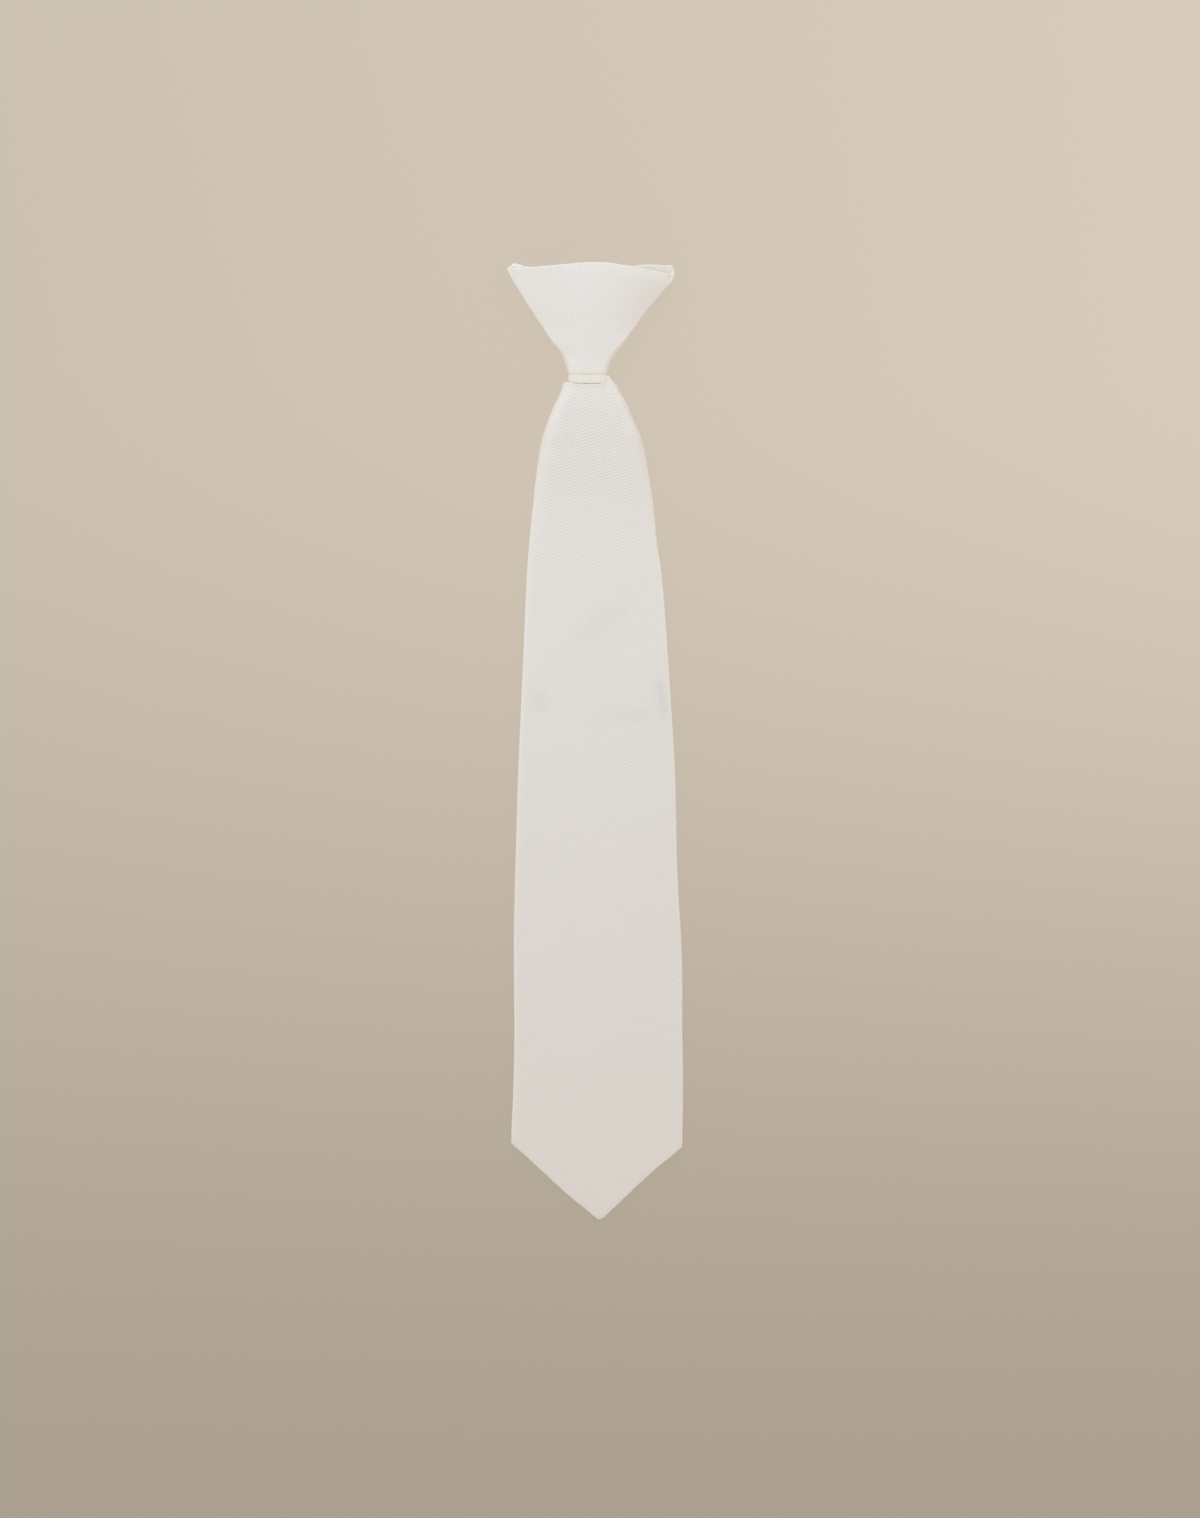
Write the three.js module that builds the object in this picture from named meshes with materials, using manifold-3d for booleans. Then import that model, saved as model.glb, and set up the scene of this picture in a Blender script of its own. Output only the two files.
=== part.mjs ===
// A pre-tied clip necktie in off-white ribbed cloth, lying on its back.
// Millimetres. X runs to the right, Y up the tie towards the knot, Z out of its front.
// The origin is the bottom centre of the box round the whole tie.
// Every cloth piece is a wall with an outer face and an inner face, a fixed distance apart.

import * as THREE from "three";
import Module from "manifold-3d";
import { mergeVertices } from "three/addons/utils/BufferGeometryUtils.js";

const wasm = await Module();
wasm.setup();

// driving sizes
const CLOTH = 1; // thickness of one wall of cloth
const GAP = 0.3; // clearance between two pieces
const FLAT = 3 * CLOTH + 2 * GAP; // front wall, facing, back flap and the clearances
const SEAM = 0.4; // opening of the seam down the middle of the back
const SEAM_END_Y = -118; // the back flaps part here and open towards the corners
const HEM = 9.1; // width of the turned edge at the point, measured across the tie
const BUNDLE_TOP = 182; // where the blade ends inside the knot
const SHOULDER = { start: 9.6, width: 2 }; // how far out the gathered shoulders begin to rise

// The very tip, and the heights of the corners where the point begins.
const TIP = { x: 2.05, y: -228.5, leastRoom: 0.3 };
const CORNERS = { leftY: -192.2, rightY: -194.1 };

// The blade, a row for each section. left and right are its sides, curl is how far each side
// rolls backwards in degrees, roll is the length of cloth that takes part in it, lift is the
// height of its underside, riseLeft and riseRight push the gathered shoulders up past the band.
// A row names only what differs from a section that lies flat.
const LYING = { curl: 0, roll: 10, lift: 0, riseLeft: 0, riseRight: 0 };
const BLADE = [
  { y: CORNERS.leftY, left: -40.15, right: 41.6 },
  { y: -186, left: -40.05, right: 41.65 },
  { y: -174, left: -39.5, right: 41.9 },
  { y: -162, left: -39.05, right: 41.95 },
  { y: -137, left: -38.7, right: 41.6 },
  { y: -116, left: -38.9, right: 41.6 },
  { y: -95.3, left: -38.95, right: 41.05 },
  { y: -76.2, left: -38.6, right: 39.9 },
  { y: -57.1, left: -38.1, right: 39.05 },
  { y: -18.9, left: -37, right: 38.25 },
  { y: 19.3, left: -35.35, right: 36.1 },
  { y: 48, left: -34.05, right: 34.25 },
  { y: 66, left: -33.4, right: 33, curl: 3, roll: 10.5 },
  { y: 81, left: -32.85, right: 31.75, curl: 9, roll: 11 },
  { y: 95.7, left: -31.85, right: 29.75, curl: 20, roll: 11.5 },
  { y: 105.5, left: -31.1, right: 29, curl: 31, roll: 12, lift: 0.1 },
  { y: 114.8, left: -30.25, right: 28.05, curl: 44, roll: 12.4, lift: 0.2 },
  { y: 124.4, left: -29.25, right: 26.65, curl: 60, roll: 12.8, lift: 0.3 },
  { y: 133.9, left: -27.85, right: 24.75, curl: 79, roll: 13.4, lift: 0.5 },
  { y: 143.5, left: -25.65, right: 22.35, curl: 100, roll: 14.2, lift: 0.9 },
  { y: 150, left: -23.6, right: 19.7, curl: 116, roll: 15, lift: 1.3 },
  { y: 155.5, left: -21.5, right: 17.3, curl: 130, roll: 15.8, lift: 1.7 },
  { y: 160.5, left: -19.3, right: 15.2, curl: 144, roll: 16.6, lift: 2.1 },
  { y: 164.5, left: -17.2, right: 13, curl: 156, roll: 17.4, lift: 2.4 },
  { y: 167.6, left: -15.9, right: 11.1, curl: 166, roll: 18.2, lift: 2.7 },
  { y: 169.7, left: -15.2, right: 9.3, curl: 176, roll: 18.8, lift: 2.9, riseLeft: 1.5, riseRight: 2.4 },
  { y: 170.2, left: -11.7, right: 3.8, curl: 196, roll: 18.9, lift: 3.4 },
  { y: 177, left: -11.7, right: 3.8, curl: 196, roll: 18.9, lift: 3.4 },
  { y: BUNDLE_TOP, left: -11.2, right: 4.1, curl: 196, roll: 18.9, lift: 3.8 },
];

// The point, a row for each section from the very tip up. left and right are its sides, and
// full is how much of the tie's thickness is left there. The left side swells a little outwards,
// the right one is drawn in below its corner.
const POINT = [
  { y: TIP.y, left: 1.3, right: 2.8, full: 0.35 },
  { y: -228, left: 0.6, right: 3.5, full: 0.75 },
  { y: -226.8, left: -1.1, right: 5.2, full: 0.97 },
  { y: -224.2, left: -4.1, right: 7.6, full: 1 },
  { y: -220.4, left: -8.85, right: 11.8, full: 1 },
  { y: -214.6, left: -15.7, right: 17.85, full: 1 },
  { y: -208.9, left: -21.9, right: 23.95, full: 1 },
  { y: -203.2, left: -28.05, right: 30.3, full: 1 },
  { y: -198.4, left: -33.2, right: 36.4, full: 1 },
  { y: CORNERS.rightY, left: -38.1, right: 41.3, full: 1 },
];

// The pleat down the right side of the blade's neck, a row for each point of its line.
const PLEAT = { width: 1.6, line: [
  { y: 139, x: 17.5, depth: 0 },
  { y: 148, x: 14.8, depth: 0.4 },
  { y: 156.5, x: 12.2, depth: 0.8 },
  { y: 163, x: 8.9, depth: 0.9 },
  { y: 170, x: 5.6, depth: 0.6 },
] };

// The knot, a row for each section. back is the height of its flat back wall, fold is the
// radius of its side folds, crown is the height of its front wall in the middle.
const KNOT = [
  { y: 175.3, left: -13.15, right: 6.15, back: 1.9, fold: 7.1, crown: 16.2 },
  { y: 177.4, left: -13.5, right: 6.7, back: 1.9, fold: 7.1, crown: 16.3 },
  { y: 179.8, left: -14.25, right: 7.55, back: 2, fold: 7, crown: 16.5 },
  { y: 183.6, left: -16.15, right: 9.65, back: 2.8, fold: 6.2, crown: 17.1 },
  { y: 187.4, left: -18.75, right: 12.25, back: 6.2, fold: 4.4, crown: 17.6 },
  { y: 191.3, left: -21.65, right: 15.35, back: 7, fold: 3.6, crown: 18.4 },
  { y: 198, left: -26.1, right: 20.45, back: 7, fold: 3, crown: 19.8 },
  { y: 205.6, left: -31.15, right: 26.15, back: 7, fold: 2.6, crown: 21.3 },
  { y: 211.5, left: -34.95, right: 30.35, back: 7, fold: 2.3, crown: 22.3 },
  { y: 217.5, left: -38.5, right: 34.6, back: 7, fold: 2.1, crown: 23.2 },
  { y: 222, left: -41.1, right: 37.2, back: 7, fold: 1.9, crown: 23.8 },
  { y: 225, left: -41.95, right: 37.85, back: 7, fold: 1.9, crown: 24 },
];
const RIM = {
  frontLeft: 224.9, frontMiddle: 228.5, frontRight: 222.9, backLeft: 226.6, backRight: 226.7, reach: 4,
};
const ARCH = 1.35; // how steeply the front wall falls to the side folds

// The band round the waist, between the blade and the knot.
const BAND = {
  left: -13.05, right: 5.15, back: 2.1, front: 15.9, top: 175, bottom: 171.5, sag: 0.7, roundedBy: 0.15,
};

// The clasp behind the knot: the tongue lies on the origin's plane, the leg against the knot.
const CLIP = {
  x: -2.25, width: 13, thickness: 1, gap: 4.7, tongueEnd: 186, legEnd: 191.5, bend: 214.6, corner: 3,
};

const CREAM = { color: 0xe4dfda, roughness: 0.85, metalness: 0 };
const LINING_CREAM = { color: 0xe2dcd2, roughness: 0.7, metalness: 0 };
const CLIP_WHITE = { color: 0xe9e6df, roughness: 0.45, metalness: 0 };

const PLAIN_EDGES = { bevelEnabled: false };

const smooth = (t) => {
  const c = Math.min(1, Math.max(0, t));
  return c * c * (3 - 2 * c);
};
const mix = (a, b, t) => a + (b - a) * t;

// A closed wall from two grids of points. closed joins the last column to the first.
function wall(outer, inner, closed) {
  const rows = outer.length;
  const columns = outer[0].length;
  const position = [...outer.flat(2), ...inner.flat(2)];
  const at = (face, row, column) => (face * rows + row) * columns + (column % columns);
  const index = [];
  const quad = (a, b, c, d) => index.push(a, b, c, a, c, d);
  const last = closed ? columns : columns - 1;
  for (let row = 0; row < rows - 1; row++) {
    for (let k = 0; k < last; k++) {
      quad(at(0, row, k), at(0, row, k + 1), at(0, row + 1, k + 1), at(0, row + 1, k));
      quad(at(1, row, k), at(1, row + 1, k), at(1, row + 1, k + 1), at(1, row, k + 1));
    }
    if (!closed) {
      quad(at(0, row, 0), at(0, row + 1, 0), at(1, row + 1, 0), at(1, row, 0));
      quad(at(0, row, last), at(1, row, last), at(1, row + 1, last), at(0, row + 1, last));
    }
  }
  for (let k = 0; k < last; k++) {
    quad(at(0, 0, k), at(1, 0, k), at(1, 0, k + 1), at(0, 0, k + 1));
    quad(at(0, rows - 1, k), at(0, rows - 1, k + 1), at(1, rows - 1, k + 1), at(1, rows - 1, k));
  }
  if (volume(position, index) < 0) index.reverse();
  const geometry = new THREE.BufferGeometry();
  geometry.setAttribute("position", new THREE.Float32BufferAttribute(position, 3));
  geometry.setIndex(index);
  geometry.computeVertexNormals();
  return geometry;
}

function volume(position, index) {
  const corner = (n) => new THREE.Vector3().fromArray(position, 3 * n);
  let sum = 0;
  for (let k = 0; k < index.length; k += 3) {
    const normal = corner(index[k + 1]).cross(corner(index[k + 2]));
    sum += corner(index[k]).dot(normal) / 6;
  }
  return sum;
}

// How deep the pleat presses the front of the blade in at one point.
function pleatDepth(x, y) {
  const line = PLEAT.line;
  const k = line.findIndex((row, n) => n > 0 && y <= row.y);
  if (k < 1 || y < line[0].y) return 0;
  const t = (y - line[k - 1].y) / (line[k].y - line[k - 1].y);
  const away = (x - mix(line[k - 1].x, line[k].x, t)) / PLEAT.width;
  return mix(line[k - 1].depth, line[k].depth, t) * Math.exp(-away * away);
}

// Half of a blade section rolled backwards. along is measured on the front face from the
// middle line, depth from the front face into the tie. Gives the distance from the middle
// line and the height above the lowest point of the section.
function rolled(section, half, along, depth) {
  const angle = THREE.MathUtils.degToRad(Math.max(section.curl, 0.01));
  const radius = section.roll / angle;
  const flat = half - radius * Math.sin(Math.min(angle, Math.PI / 2));
  const lowest = Math.min(angle, Math.PI);
  const top = radius * (1 - Math.cos(lowest)) + section.thickness * Math.max(Math.cos(angle), 0);
  const turn = Math.max(0, along - flat) / radius;
  const out = Math.min(along, flat) + (radius - depth) * Math.sin(turn);
  return { out, up: top - radius + (radius - depth) * Math.cos(turn) };
}

// The length of the front face from the middle line to the side fold.
function frontLength(section, half) {
  const angle = THREE.MathUtils.degToRad(Math.max(section.curl, 0.01));
  const radius = section.roll / angle;
  return half - radius * Math.sin(Math.min(angle, Math.PI / 2)) + section.roll;
}

// One section of the blade: from the seam round the left side, over the front and round the
// right side back to the seam. inset is 0 on the outer face and the wall's thickness inside.
const FRONT_STEPS = 10;
const FOLD_STEPS = 4;
const FLAP_STEPS = 6;
function bladeSection(section, inset) {
  const middle = (section.left + section.right) / 2;
  const half = (section.right - section.left) / 2;
  const edge = frontLength(section, half);
  const nose = section.thickness / 2;
  const path = [];
  for (let k = 0; k <= FLAP_STEPS; k++) {
    const along = mix(Math.min(section.flapEnd, edge - nose), edge - nose, k / FLAP_STEPS);
    path.push({ along, depth: section.thickness - inset });
  }
  for (let k = 1; k <= FOLD_STEPS; k++) {
    const turn = Math.PI * (k / FOLD_STEPS);
    const along = edge - nose + (nose - inset) * Math.sin(turn);
    path.push({ along, depth: nose + (nose - inset) * Math.cos(turn) });
  }
  for (let k = 1; k <= FRONT_STEPS; k++) {
    path.push({ along: (edge - nose) * (1 - k / FRONT_STEPS), depth: inset });
  }
  const place = (side) => ({ along, depth }) => {
    const { out, up } = rolled(section, half, along, depth);
    const x = middle + side * out;
    const front = 1 - smooth((depth - nose) / nose + 0.5);
    const rise = side < 0 ? section.riseLeft : section.riseRight;
    const y = section.y + rise * smooth((out - SHOULDER.start) / SHOULDER.width);
    const z = section.lift + up - front * pleatDepth(x, section.y);
    return [x, y, z];
  };
  const left = path.map(place(-1));
  const right = path.map(place(1)).reverse().slice(1);
  return [...left, ...right];
}

// The sections of the point, from the very tip up to the corners.
function pointSections() {
  return POINT.map(({ y, left, right, full }) => {
    const thickness = FLAT * full;
    const half = Math.max((right - left) / 2, thickness / 2 + TIP.leastRoom);
    const middle = (left + right) / 2;
    const flapEnd = Math.max(half - HEM, (SEAM / 2) * full);
    const sides = { left: middle - half, right: middle + half };
    const lift = (FLAT - thickness) / 2;
    const roll = Math.min(LYING.roll, half);
    return { ...LYING, y, ...sides, roll, lift, thickness, flapEnd, full };
  });
}

function bodySections() {
  return BLADE.map((row) => {
    const half = (row.right - row.left) / 2;
    const opened = Math.max(0, (SEAM_END_Y - row.y) / (SEAM_END_Y - CORNERS.leftY));
    const flapEnd = mix(SEAM / 2, half - HEM, opened);
    return { ...LYING, ...row, thickness: FLAT, flapEnd, full: 1 };
  });
}

function blade() {
  const sections = [...pointSections(), ...bodySections()];
  const outer = sections.map((section) => bladeSection(section, 0));
  const inner = sections.map((section) => bladeSection(section, CLOTH * section.full));
  return wall(outer, inner, false);
}

// The facing lies between the front wall and the turned edges and closes the point's back.
function tipFacing() {
  const inset = 2.1;
  const top = SEAM_END_Y + 10;
  const nearTip = { y: TIP.y + 5, half: 2.2 };
  const rows = [...POINT, ...BLADE].filter((row) => row.y > nearTip.y && row.y < top);
  rows.push({ ...readRow(BLADE, top), y: top });
  const right = rows.map((row) => [row.right - inset, row.y]);
  const left = rows.map((row) => [row.left + inset, row.y]).reverse();
  const tip = [[TIP.x - nearTip.half, nearTip.y], [TIP.x + nearTip.half, nearTip.y]];
  const outline = new THREE.Shape([...tip, ...right, ...left].map(([x, y]) => new THREE.Vector2(x, y)));
  const geometry = new THREE.ExtrudeGeometry(outline, { ...PLAIN_EDGES, depth: CLOTH });
  return geometry.translate(0, 0, CLOTH + GAP);
}

// The left and right sides at any height, between the rows of a table.
function readRow(table, y) {
  const k = table.findIndex((row) => row.y >= y);
  const t = (y - table[k - 1].y) / (table[k].y - table[k - 1].y);
  const between = (column) => mix(table[k - 1][column], table[k][column], t);
  return { left: between("left"), right: between("right") };
}

// One section of the knot, once round: along the flat back, round the right fold, over the
// arched front and round the left fold. part runs from 0 at the neck to 1 at the rim.
const ARCH_STEPS = 16;
const TURN_STEPS = 7;
const BACK_STEPS = 8;
function knotSection(section, part, inset) {
  const fold = section.fold;
  const leftEnd = section.left + fold;
  const rightEnd = section.right - fold;
  const top = section.back + 2 * fold;
  const swell = section.crown - top;
  const ring = [];
  const add = (across, x, z, front) => ring.push([x, rimHeight(section, part, across, front), z]);
  for (let k = 0; k < BACK_STEPS; k++) {
    const t = k / BACK_STEPS;
    add(2 * t - 1, mix(leftEnd, rightEnd, t), section.back + inset, 0);
  }
  for (let k = 0; k < TURN_STEPS; k++) {
    const turn = Math.PI * (k / TURN_STEPS);
    const reach = fold - inset;
    const z = section.back + fold - reach * Math.cos(turn);
    add(1, rightEnd + reach * Math.sin(turn), z, smooth(k / TURN_STEPS));
  }
  for (let k = 0; k < ARCH_STEPS; k++) {
    const across = 1 - 2 * (k / ARCH_STEPS);
    const z = top - inset + swell * Math.cos((across * Math.PI) / 2) ** ARCH;
    add(across, mix(leftEnd, rightEnd, (across + 1) / 2), z, 1);
  }
  for (let k = 0; k < TURN_STEPS; k++) {
    const turn = Math.PI * (k / TURN_STEPS);
    const reach = fold - inset;
    const z = section.back + fold + reach * Math.cos(turn);
    add(-1, leftEnd - reach * Math.sin(turn), z, 1 - smooth(k / TURN_STEPS));
  }
  return ring;
}

// The rim isn't level: the front is highest in the middle, the back is nearly straight. The
// larger RIM.reach is, the nearer to the rim its shape stays.
function rimHeight(section, part, across, front) {
  const side = across < 0 ? RIM.frontLeft : RIM.frontRight;
  const frontRim = mix(RIM.frontMiddle, side, across * across);
  const backRim = mix(RIM.backLeft, RIM.backRight, (across + 1) / 2);
  const lastRow = KNOT[KNOT.length - 1].y;
  return section.y + (mix(backRim, frontRim, front) - lastRow) * part ** RIM.reach;
}

function knot() {
  const bottom = KNOT[0].y;
  const tall = KNOT[KNOT.length - 1].y - bottom;
  const part = (section) => (section.y - bottom) / tall;
  const outer = KNOT.map((section) => knotSection(section, part(section), 0));
  const inner = KNOT.map((section) => knotSection(section, part(section), CLOTH));
  return wall(outer, inner, true);
}

// The band is a stadium-shaped ring whose lower edge sags a little in the middle.
function knotBand() {
  const steps = 32;
  const rows = 4;
  const radius = (BAND.front - BAND.back) / 2;
  const middle = (BAND.left + BAND.right) / 2;
  const straight = (BAND.right - BAND.left) / 2 - radius;
  const ring = (level, inset) => {
    const points = [];
    for (let k = 0; k < steps; k++) {
      const turn = (2 * Math.PI * (k + 0.5)) / steps;
      const side = Math.sign(Math.sin(turn));
      const x = middle + side * straight + (radius - inset) * Math.sin(turn);
      const z = BAND.back + radius + (radius - inset) * Math.cos(turn);
      const sag = BAND.sag * (1 - Math.sin(turn) ** 2) * (1 - level);
      points.push([x, mix(BAND.bottom, BAND.top, level) - sag, z]);
    }
    return points;
  };
  const levels = Array.from({ length: rows }, (_, k) => k / (rows - 1));
  const rounding = (level) => BAND.roundedBy * (2 * level - 1) ** 2;
  const outer = levels.map((level) => ring(level, rounding(level)));
  const inner = levels.map((level) => ring(level, CLOTH));
  return wall(outer, inner, true);
}

// The clasp is one strip bent into a hairpin: a long tongue with rounded corners, and a shorter
// leg that lies against the knot's back.
function collarClip() {
  const { thickness, gap, tongueEnd, legEnd, bend, width, corner } = CLIP;
  const outerRadius = gap / 2 + thickness;
  const profile = new THREE.Shape();
  profile.moveTo(tongueEnd, 0);
  profile.lineTo(bend, 0);
  profile.absarc(bend, outerRadius, outerRadius, -Math.PI / 2, Math.PI / 2, false);
  profile.lineTo(legEnd, 2 * outerRadius);
  profile.lineTo(legEnd, outerRadius + gap / 2);
  profile.lineTo(bend, outerRadius + gap / 2);
  profile.absarc(bend, outerRadius, gap / 2, Math.PI / 2, -Math.PI / 2, true);
  profile.lineTo(tongueEnd, thickness);
  const strip = new THREE.ExtrudeGeometry(profile, { ...PLAIN_EDGES, depth: width, curveSegments: 14 });
  // The profile's first axis becomes Y and its second Z, and the strip's width lies along X.
  strip.applyMatrix4(new THREE.Matrix4().makeBasis(
    new THREE.Vector3(0, 1, 0), new THREE.Vector3(0, 0, 1), new THREE.Vector3(1, 0, 0)));
  strip.translate(-width / 2, 0, 0);
  const plan = new THREE.Shape();
  const far = bend + 2 * outerRadius;
  plan.moveTo(-width / 2, far);
  const start = tongueEnd + corner;
  plan.lineTo(-width / 2, start);
  plan.absarc(-width / 2 + corner, start, corner, Math.PI, 1.5 * Math.PI, false);
  plan.absarc(width / 2 - corner, start, corner, 1.5 * Math.PI, 2 * Math.PI, false);
  plan.lineTo(width / 2, far);
  const depth = 4 * outerRadius;
  const cutter = new THREE.ExtrudeGeometry(plan, { ...PLAIN_EDGES, depth, curveSegments: 6 });
  cutter.translate(0, 0, -outerRadius);
  return common(strip, cutter).translate(CLIP.x, 0, 0);
}

// The solid that two closed geometries share.
function common(first, second) {
  const result = solid(first).intersect(solid(second)).getMesh();
  const geometry = new THREE.BufferGeometry();
  geometry.setAttribute("position", new THREE.Float32BufferAttribute(result.vertProperties, 3));
  geometry.setIndex(Array.from(result.triVerts));
  geometry.computeVertexNormals();
  return geometry;
}

function solid(geometry) {
  const bare = geometry.clone();
  bare.deleteAttribute("normal");
  bare.deleteAttribute("uv");
  const merged = mergeVertices(bare, 1e-4);
  return new wasm.Manifold(new wasm.Mesh({
    numProp: 3,
    vertProperties: new Float32Array(merged.attributes.position.array),
    triVerts: new Uint32Array(merged.index.array),
  }));
}

function piece(name, geometry, finish) {
  const mesh = new THREE.Mesh(geometry, new THREE.MeshStandardMaterial(finish));
  mesh.name = name;
  return mesh;
}

const group = new THREE.Group();
group.add(piece("blade", blade(), CREAM));
group.add(piece("tip_facing", tipFacing(), LINING_CREAM));
group.add(piece("knot", knot(), CREAM));
group.add(piece("knot_band", knotBand(), CREAM));
group.add(piece("collar_clip", collarClip(), CLIP_WHITE));

export default group;
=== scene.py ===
import math

import bpy
import numpy as np
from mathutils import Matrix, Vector


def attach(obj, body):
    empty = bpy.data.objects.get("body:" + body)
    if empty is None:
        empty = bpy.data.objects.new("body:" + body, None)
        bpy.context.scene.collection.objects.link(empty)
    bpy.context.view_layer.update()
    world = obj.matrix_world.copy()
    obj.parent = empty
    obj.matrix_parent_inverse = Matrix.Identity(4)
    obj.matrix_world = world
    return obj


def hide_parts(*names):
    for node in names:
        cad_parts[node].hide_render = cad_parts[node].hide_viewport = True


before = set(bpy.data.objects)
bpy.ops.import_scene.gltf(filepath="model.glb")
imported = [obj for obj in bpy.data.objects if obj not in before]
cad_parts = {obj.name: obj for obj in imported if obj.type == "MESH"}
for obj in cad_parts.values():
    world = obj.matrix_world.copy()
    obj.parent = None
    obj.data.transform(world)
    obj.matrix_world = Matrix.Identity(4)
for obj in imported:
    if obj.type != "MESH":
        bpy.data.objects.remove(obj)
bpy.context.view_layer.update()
print("frame loaded:", sorted(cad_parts))

# Tables are in millimetres, meshes in metres.
mm = 0.001


def table(names, *rows):
    # rows of values under named columns; a row may leave out its last ones, which then count as zero
    return [dict(zip(names.split(), row)) for row in rows]


# Camera, floor and light

photo = {
    "width": 1200,
    "height": 1518,
    "mmPerPixel": 0.4775,  # at the tie, from its real length of 457 mm
    "zeroX": 595.3,        # the pixel that lies over the frame's origin
    "zeroY": 740.5,
}
studio = {
    "cameraHeight": 9000,
    "clipEnd": 50000,
    "floorSize": 9000,
    "floorDrop": 0.05,
    "floorTop": (0.645, 0.566, 0.469),
    "floorBottom": (0.412, 0.353, 0.285),
    "gradientFrom": -410,    # the floor's colour is painted lighter from its bottom colour here to its top colour there, as the light falls off
    "gradientTo": 186,
    "floorGlow": 0.88,       # share of the floor's light that it gives off itself
    "rightLighter": 0.13,    # how much lighter the floor's colour is painted on the right than on the left
    "horizon": 1.3,          # how strong the dome is low down, and overhead
    "zenith": 0.445,
    "domeColour": (1.0, 0.956, 0.892),
}
panels = table(
    "name place size power colour",
    ("keyPanel", (-150, 600, 640), 510, 2.2, (0.865, 1.085, 1.40)),
    ("sidePanel", (1300, 100, 700), 700, 0.3, (1, 1, 1)),
)


def makeCamera():
    # straight above the middle of the photo
    data = bpy.data.cameras.new("photoCamera")
    camera = bpy.data.objects.new("photoCamera", data)
    bpy.context.scene.collection.objects.link(camera)
    longSide = photo["height"] * photo["mmPerPixel"]
    data.lens = data.sensor_width * studio["cameraHeight"] / longSide
    x = (photo["width"] / 2 - photo["zeroX"]) * photo["mmPerPixel"]
    y = (photo["zeroY"] - photo["height"] / 2) * photo["mmPerPixel"]
    camera.location = Vector((x, y, studio["cameraHeight"])) * mm
    data.clip_end = studio["clipEnd"] * mm
    bpy.context.scene.camera = camera


def makeDome():
    # soft light from all round, brighter low down than overhead
    world = bpy.data.worlds.new("softDome")
    bpy.context.scene.world = world
    world.use_nodes = True
    tree = world.node_tree
    direction = addNode(tree, "ShaderNodeTexCoord").outputs["Generated"]
    upward = addNode(tree, "ShaderNodeSeparateXYZ", Vector=direction).outputs["Z"]
    strength = mapRange(tree, upward, (studio["horizon"], studio["zenith"]))
    sky = tree.nodes["Background"]
    sky.inputs["Color"].default_value = rgba(studio["domeColour"])
    tree.links.new(strength, sky.inputs["Strength"])


def makePanel(panel):
    # a soft square light that faces the frame's origin
    data = bpy.data.lights.new(panel["name"], "AREA")
    data.shape = "SQUARE"
    data.size = panel["size"] * mm
    data.energy = panel["power"]
    data.color = panel["colour"]
    light = bpy.data.objects.new(panel["name"], data)
    bpy.context.scene.collection.objects.link(light)
    light.location = Vector(panel["place"]) * mm
    light.rotation_euler = (-light.location).to_track_quat("-Z", "Y").to_euler()
    light.visible_camera = False


def makeFloor():
    half = studio["floorSize"] / 2 * mm
    low = -studio["floorDrop"] * mm
    mesh = bpy.data.meshes.new("floor")
    corners = [(-half, -half, low), (half, -half, low), (half, half, low), (-half, half, low)]
    mesh.from_pydata(corners, [], [(0, 1, 2, 3)])
    floor = bpy.data.objects.new("floor", mesh)
    bpy.context.scene.collection.objects.link(floor)
    floor.data.materials.append(floorPaper())


# Node helpers

def newMaterial(name):
    material = bpy.data.materials.new(name)
    material.use_nodes = True
    tree = material.node_tree
    return material, tree, tree.nodes["Principled BSDF"]


def addNode(tree, kind, settings=None, **inputs):
    # an input goes by its name, or as n0, n1 and so on by its number
    node = tree.nodes.new(kind)
    for key, value in (settings or {}).items():
        setattr(node, key, value)
    for key, value in inputs.items():
        numbered = key[0] == "n" and key[1:].isdigit()
        socket = node.inputs[int(key[1:]) if numbered else key]
        if isinstance(value, bpy.types.NodeSocket):
            tree.links.new(value, socket)
        else:
            socket.default_value = value
    return node


def maths(tree, operation, first, second=0.0, third=0.0):
    node = addNode(tree, "ShaderNodeMath", {"operation": operation}, n0=first, n1=second, n2=third)
    return node.outputs[0]


def keptBetween(tree, value, least, most):
    return maths(tree, "MINIMUM", maths(tree, "MAXIMUM", value, least), most)


def vectorMaths(tree, operation, first, second):
    node = addNode(tree, "ShaderNodeVectorMath", {"operation": operation}, n0=first, n1=second)
    return node.outputs["Value" if operation == "DOT_PRODUCT" else "Vector"]


def scaled(tree, vector, gain):
    node = addNode(tree, "ShaderNodeVectorMath", {"operation": "SCALE"}, n0=vector, Scale=gain)
    return node.outputs[0]


def mapRange(tree, value, toRange, fromRange=(0, 1), curve="LINEAR"):
    # carries the value from one range to the other and keeps it inside
    node = addNode(tree, "ShaderNodeMapRange", {"interpolation_type": curve}, Value=value)
    for key, number in zip(("From Min", "From Max", "To Min", "To Max"), (*fromRange, *toRange)):
        node.inputs[key].default_value = number
    return node.outputs[0]


def mixColours(tree, factor, first, second):
    node = addNode(tree, "ShaderNodeMix", {"data_type": "RGBA"}, n0=factor, n6=first, n7=second)
    return node.outputs[2]


def noise(tree, place, size, detail=2.0, output="Fac"):
    node = addNode(tree, "ShaderNodeTexNoise", Vector=place, Scale=1 / (size * mm), Detail=detail)
    return node.outputs[output]


def addBump(tree, shader, height, strength, depth):
    bump = addNode(tree, "ShaderNodeBump", Height=height, Strength=strength, Distance=depth * mm)
    tree.links.new(bump.outputs[0], shader.inputs["Normal"])


def rgba(colour):
    return (*colour, 1.0)


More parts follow.
